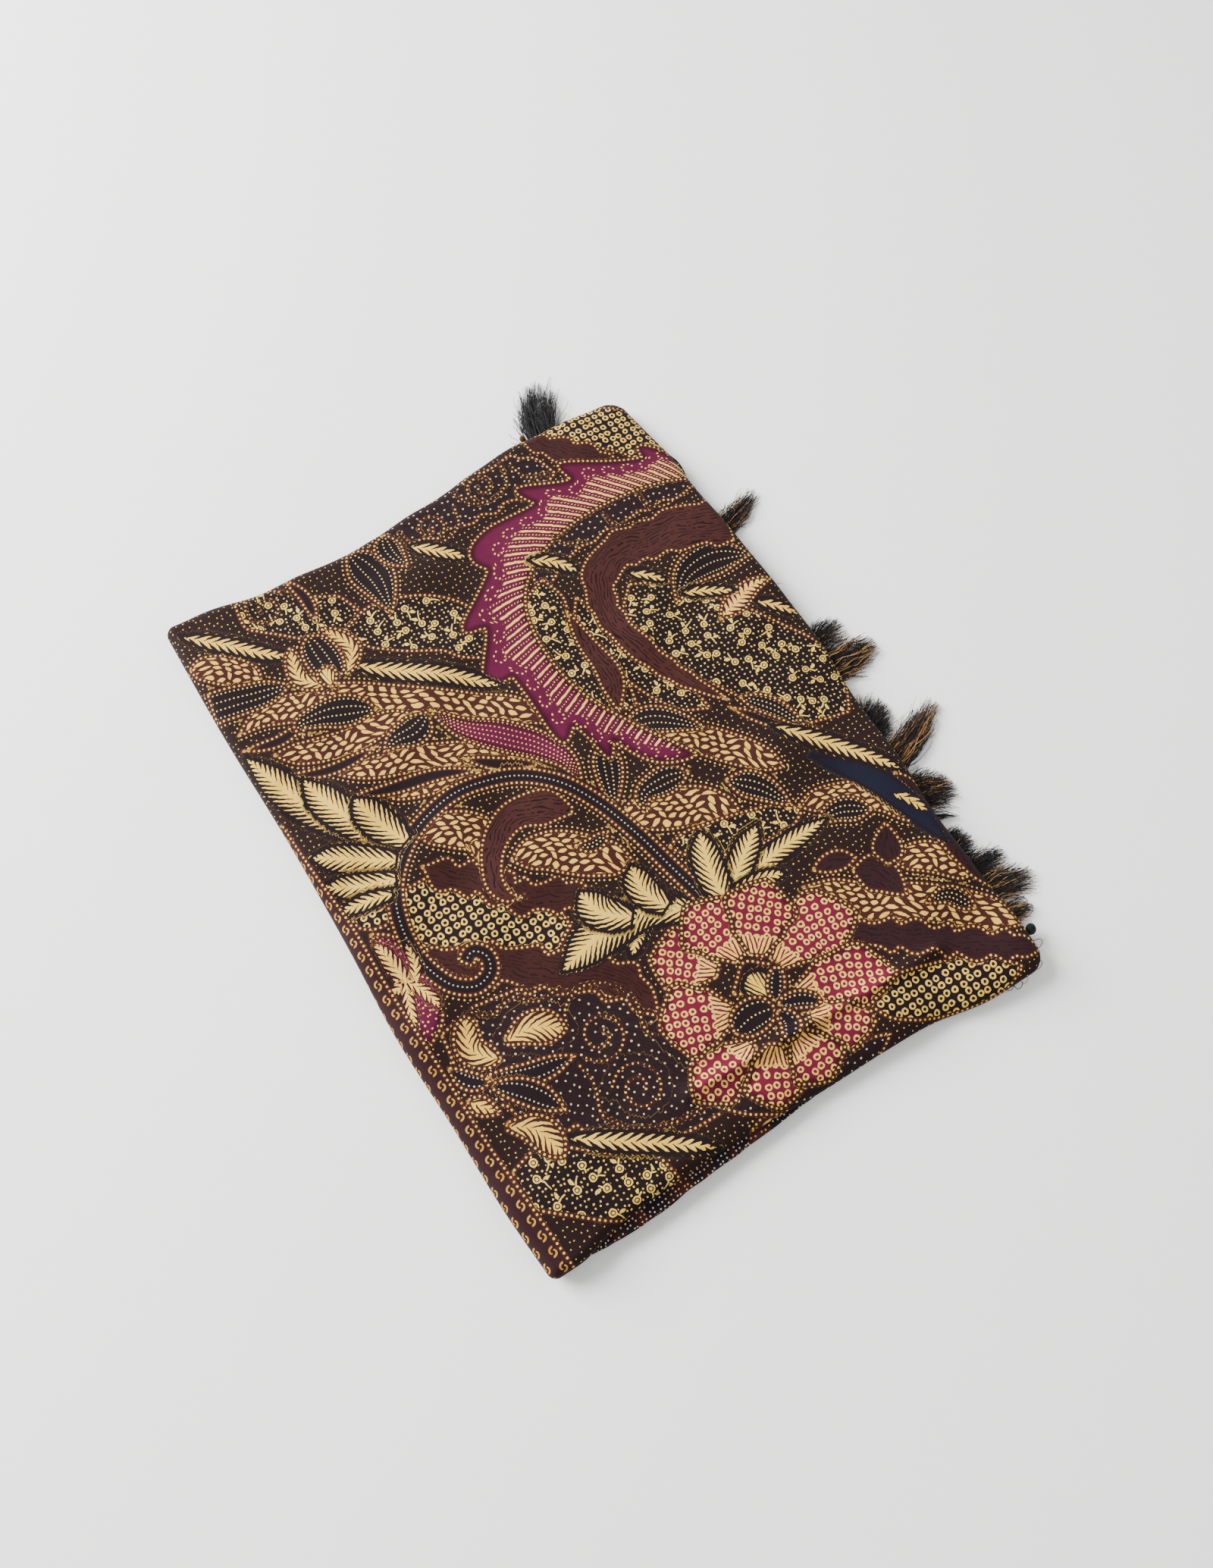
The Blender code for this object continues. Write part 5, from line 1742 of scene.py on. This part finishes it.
@dataclass
class Fringe:
    """The yarn that shows at the open end: tassels, loose threads and knots."""

    strands_per_mm: float = 13.0
    stations: int = 10
    root_radius: float = 0.34
    tip_radius: float = 0.13
    lock_width: float = 2.6
    lowest: float = 0.3
    root_heights: Point = (1.6, 4.9)
    tip_heights: Point = (0.35, 2.4)
    loop_radius: float = 0.2
    hair_radius: float = 0.07
    knot_stations: int = 150
    hairs: int = 420
    seed: int = 21

    def tassel(self, name: str, tassel: Tassel, material: Material) -> Object:
        """Builds one tassel of many strands.

        Each strand leaves its root straight out and bends on a quadratic curve to its own tip. Strands gather
        in locks that twist, and wander more towards their tips.

        Args:
            name: the object's name.
            tassel: its sizes.
            material: the yarn.

        Returns:
            The object.
        """
        random = np.random.default_rng(self.seed + int(abs(tassel.along)))
        count = max(24, int(tassel.width * self.strands_per_mm))
        share = np.sort(random.uniform(-0.5, 0.5, count))
        front, foot, outward, sideways = rim_place(tassel.side, tassel.along)
        inset = min(max(foot, 0.0), 7.0)
        front = front - outward * (inset - 0.8)
        root = front + sideways * (share * tassel.width)[:, None] - outward * 2.0
        root_z = random.uniform(*self.root_heights, count)
        axis = np.array(tassel.tip) - front
        short = np.abs(random.normal(0, 0.2, count)) + 1.3 * np.abs(share) ** 2
        reach = np.clip(1.04 - short, 0.35, 1.0)
        locks = max(2, round(tassel.width / self.lock_width))
        lock = np.floor((share + 0.5) * locks * 0.999)
        lock_share = (lock + 0.5) / locks - 0.5
        gather = 1.25 - reach * 0.75
        aim = (share * 0.5 + lock_share * 0.6) * gather + random.normal(0, 0.09, count)
        tip = front + axis * reach[:, None] + sideways * (aim * tassel.spread)[:, None]
        tip_z = random.uniform(*self.tip_heights, count)
        t = np.linspace(0, 1, self.stations)[None, :]
        length = np.linalg.norm(tip - root, axis=1)
        middle = root + outward * (length * 0.33)[:, None]
        middle_z = root_z + random.uniform(-0.6, 0.9, count)
        plan = self.bend(root, middle, tip, t)
        height = (1 - t) ** 2 * root_z[:, None] + 2 * t * (1 - t) * middle_z[:, None] + t**2 * tip_z[:, None]
        heading = np.gradient(plan, axis=1)
        heading /= np.linalg.norm(heading, axis=2, keepdims=True) + 1e-9
        square = np.stack([-heading[..., 1], heading[..., 0]], axis=-1)
        phase = random.uniform(0, 2 * np.pi, count)[:, None]
        twist = (lock * 1.7)[:, None] + t * length[:, None] * 0.38
        frizz = np.sin(phase * 2 + t * length[:, None] * random.uniform(0.5, 1.1, count)[:, None])
        wave = np.sin(phase + t * length[:, None] * 0.22)
        sway = 0.4 * np.sin(twist + phase * 0.5) + t * (0.9 * wave + 0.55 * frizz)
        plan = plan + square * sway[..., None]
        height = height + 0.3 * np.cos(twist + phase * 0.5) + 0.25 * np.sin(phase * 3 + t * 7)
        height = np.maximum(height, self.lowest)
        centres = np.concatenate([plan, height[..., None]], axis=2) * MM
        thick = random.uniform(0.75, 1.2, count)[:, None]
        radii = (self.root_radius + (self.tip_radius - self.root_radius) * t**0.8) * thick * MM
        chance = random.random(count) ** 0.8
        streak = (np.sin(lock * 2.4 + tassel.along) > 0.7) * 0.16
        warmth = tassel.warmth * 0.6 + streak
        marks = columns(chance[:, None], t, warmth[:, None])
        draft = MeshDraft()
        draft.tubes(centres, radii)
        return draft.build(name, material, {"strand": np.repeat(marks.reshape(-1, 3), TUBE_SIDES, axis=0)})

    @staticmethod
    def bend(start: Array, middle: Array, end: Array, t: Array) -> Array:
        """Quadratic curves on plan from start to end, drawn towards the middle points."""
        t = t[..., None]
        return (1 - t) ** 2 * start[:, None] + 2 * t * (1 - t) * middle[:, None] + t**2 * end[:, None]

    def fuzz(self, material: Material) -> Object:
        """Builds the fine hairs and small loops along the cut edge.

        Each hair leaves the edge at a random slant and bends down. A loop is most of a circle, lying nearly
        flat.

        Args:
            material: the yarn.

        Returns:
            The object.
        """
        random = np.random.default_rng(self.seed)
        count = self.hairs
        along = random.uniform(-186, 120, count)
        roots = np.array([rim_place("right", a)[0] for a in along])
        length = random.gamma(2.0, 1.1, count) + 0.8
        slant = random.normal(0, 0.7, count)
        t = np.linspace(0, 1, 6)[None, :]
        start = roots - (1.2, 0)
        tip = roots + np.stack([np.cos(slant) * length, np.sin(slant) * length], axis=1)
        middle = roots + np.stack([length * 0.4, random.normal(0, 0.8, count)], axis=1)
        plan = self.bend(start, middle, tip, t)
        high = random.uniform(5.0, 8.0, count)[:, None]
        height = high - (high - random.uniform(2.0, 6.0, count)[:, None]) * t**1.4
        hairs = np.concatenate([plan, height[..., None]], axis=2) * MM
        draft = MeshDraft()
        draft.tubes(hairs, np.broadcast_to(self.hair_radius * MM * (1.2 - t), hairs.shape[:2]))
        x, y, radius, facing = np.array(LOOPS, float).T[:, :, None]
        turn = np.radians(facing) + np.linspace(-2.5, 2.5, 16)
        rise = 2.6 + 1.2 * np.cos(turn * 2)
        loops = np.stack([x + radius * np.cos(turn), y + radius * 0.8 * np.sin(turn), rise], axis=2) * MM
        draft.tubes(loops, np.full(loops.shape[:2], self.loop_radius * MM))
        hair_points, loop_points = hairs[0, :, 0].size * TUBE_SIDES, loops[0, :, 0].size * TUBE_SIDES
        marks = np.concatenate([
            columns(np.repeat(random.random(count), hair_points), 0.5, 0.0),
            columns(np.repeat(random.random(len(loops)), loop_points), 0.5, 0.1),
        ])
        return draft.build("edge_threads", material, {"strand": marks})

    def ball(
        self, name: str, centre: Point, height: float, radius: float, warmth: float, material: Material
    ) -> Object:
        """Builds a knot: one thread wound round a small ball, tilting as it goes so that its turns cross.

        Args:
            name: the object's name.
            centre: its middle on plan, in mm.
            height: the middle's height, in mm.
            radius: its radius, in mm.
            warmth: how far its yarn leans to cream.
            material: the yarn.

        Returns:
            The object.
        """
        t = np.linspace(0, 1, self.knot_stations)
        angle = t * 2 * np.pi * 9
        tilt = np.sin(t * 2 * np.pi * 2.5) * 1.25
        body = radius * 0.78
        x = centre[0] + body * (np.cos(angle) * np.cos(tilt))
        y = centre[1] + body * (np.sin(angle) * np.cos(tilt) * 0.95)
        z = height + body * 0.9 * np.sin(tilt + 0.5 * np.sin(angle))
        path = np.stack([x, y, z], axis=1)[None] * MM
        draft = MeshDraft()
        draft.tubes(path, np.full((1, self.knot_stations), radius * 0.25 * MM), sides=6)
        marks = np.tile((0.45, 0.3, warmth), (draft.count, 1))
        return draft.build(name, material, {"strand": marks})


LOOPS = (
    (115, -194, 2.6, -80), (119, -196, 2.2, -95), (123, -195.5, 2.0, -110), (145, -165, 4.2, 0),
    (146, -169, 3.6, -20), (151, 96, 4.6, 60), (140, -185, 2.4, -30), (133, -193, 2.6, -70),
)
FLOOR_HALF = 3.0
FLOOR_DROP = 0.0002
THREAD_KNOT = (81.0, 195.5)
FRINGE_KNOT = (140.4, -178.0)


@dataclass
class Studio:
    """The floor, the lights and the camera."""

    camera_place: Triple = (-0.1473466, -0.22229359, 0.65219111)
    look: Triple = (0.22215051, 0.31072305, -0.92417549)
    up: Triple = (0.49277329, 0.78211281, 0.38141059)
    lens: float = 32.10
    long_side: float = 36.0

    def camera(self) -> None:
        """Places the camera where the photograph was taken from."""
        data = bpy.data.cameras.new("view")
        data.sensor_fit = "VERTICAL"
        data.sensor_height = self.long_side
        data.lens = self.lens
        data.clip_start = 0.01
        data.clip_end = 20
        obj = new_object("view", data)
        back = -Vector(self.look).normalized()
        up = Vector(self.up).normalized()
        right = up.cross(back).normalized()
        up = back.cross(right)
        turn = Matrix((right, up, back)).transposed().to_4x4()
        obj.matrix_world = Matrix.Translation(self.camera_place) @ turn
        bpy.context.scene.camera = obj

    @staticmethod
    def floor() -> Object:
        """Lays the floor just under the cloth."""
        draft = MeshDraft()
        corners = np.array([(-1, -1), (1, -1), (1, 1), (-1, 1)]) * FLOOR_HALF
        draft.add(columns(*corners.T, -FLOOR_DROP))
        draft.face(np.arange(4))
        return draft.build("floor", FloorFinish().build(), {})

    @staticmethod
    def lamp(name: str, place: Triple, size: float, power: float) -> None:
        """Hangs a square soft light that faces the cloth."""
        data = bpy.data.lights.new(name, "AREA")
        data.size = size
        data.energy = power
        obj = new_object(name, data)
        obj.location = place
        obj.rotation_euler = (-Vector(place)).to_track_quat("-Z", "Y").to_euler()

    def lights(self) -> None:
        """A large soft light from the far left, a weaker one from the near right and an even sky."""
        self.lamp("key", (-1.10, 1.40, 1.06), 1.34, 190.0)
        self.lamp("fill", (0.9, -0.7, 1.2), 1.2, 8.0)
        world = bpy.data.worlds.new("studio")
        bpy.context.scene.world = world
        world.use_nodes = True
        sky = world.node_tree.nodes["Background"]
        sky.inputs["Color"].default_value = (1, 1, 1, 1)
        sky.inputs["Strength"].default_value = 0.8


def attach(piece: Object, slot: str, *nodes: str) -> None:
    """Lets a piece ride on the part and stand for its solids, and reports it."""
    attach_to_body(piece, "root")
    if nodes:
        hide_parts(*nodes)
    LOG.info("%s: %d faces", piece.name, len(piece.data.polygons))


def main() -> None:
    """Loads the frame, builds the pieces in order and dresses them."""
    logging.basicConfig(level=logging.INFO)
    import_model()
    studio = Studio()
    studio.camera()
    studio.lights()
    groups = PrintGroups()
    panel = ClothPanel().build(BatikFinish().build(groups))
    attach(panel, "batik_cloth", "TopPanel")
    layers = FoldedLayers().build(FoldedFinish().build(groups))
    attach(layers, "folded_cloth", "FoldedLayers")
    yarn = YarnFinish().build()
    fringe = Fringe()
    for number, tassel in enumerate(TASSELS, start=1):
        piece = fringe.tassel(f"tassel_{number:02d}_yarn", tassel, yarn)
        attach(piece, "fringe_yarn", f"Tassel_{number:02d}")
    knot = fringe.ball("fringe_knot_yarn", FRINGE_KNOT, 5.9, 2.8, -0.3, yarn)
    attach(knot, "fringe_yarn", "FringeKnot")
    tie = fringe.ball("thread_knot", THREAD_KNOT, 4.6, 1.7, 0.5, yarn)
    attach(tie, "fringe_yarn")
    threads = fringe.fuzz(yarn)
    attach(threads, "fringe_yarn")
    studio.floor()


if __name__ == "__main__":
    main()
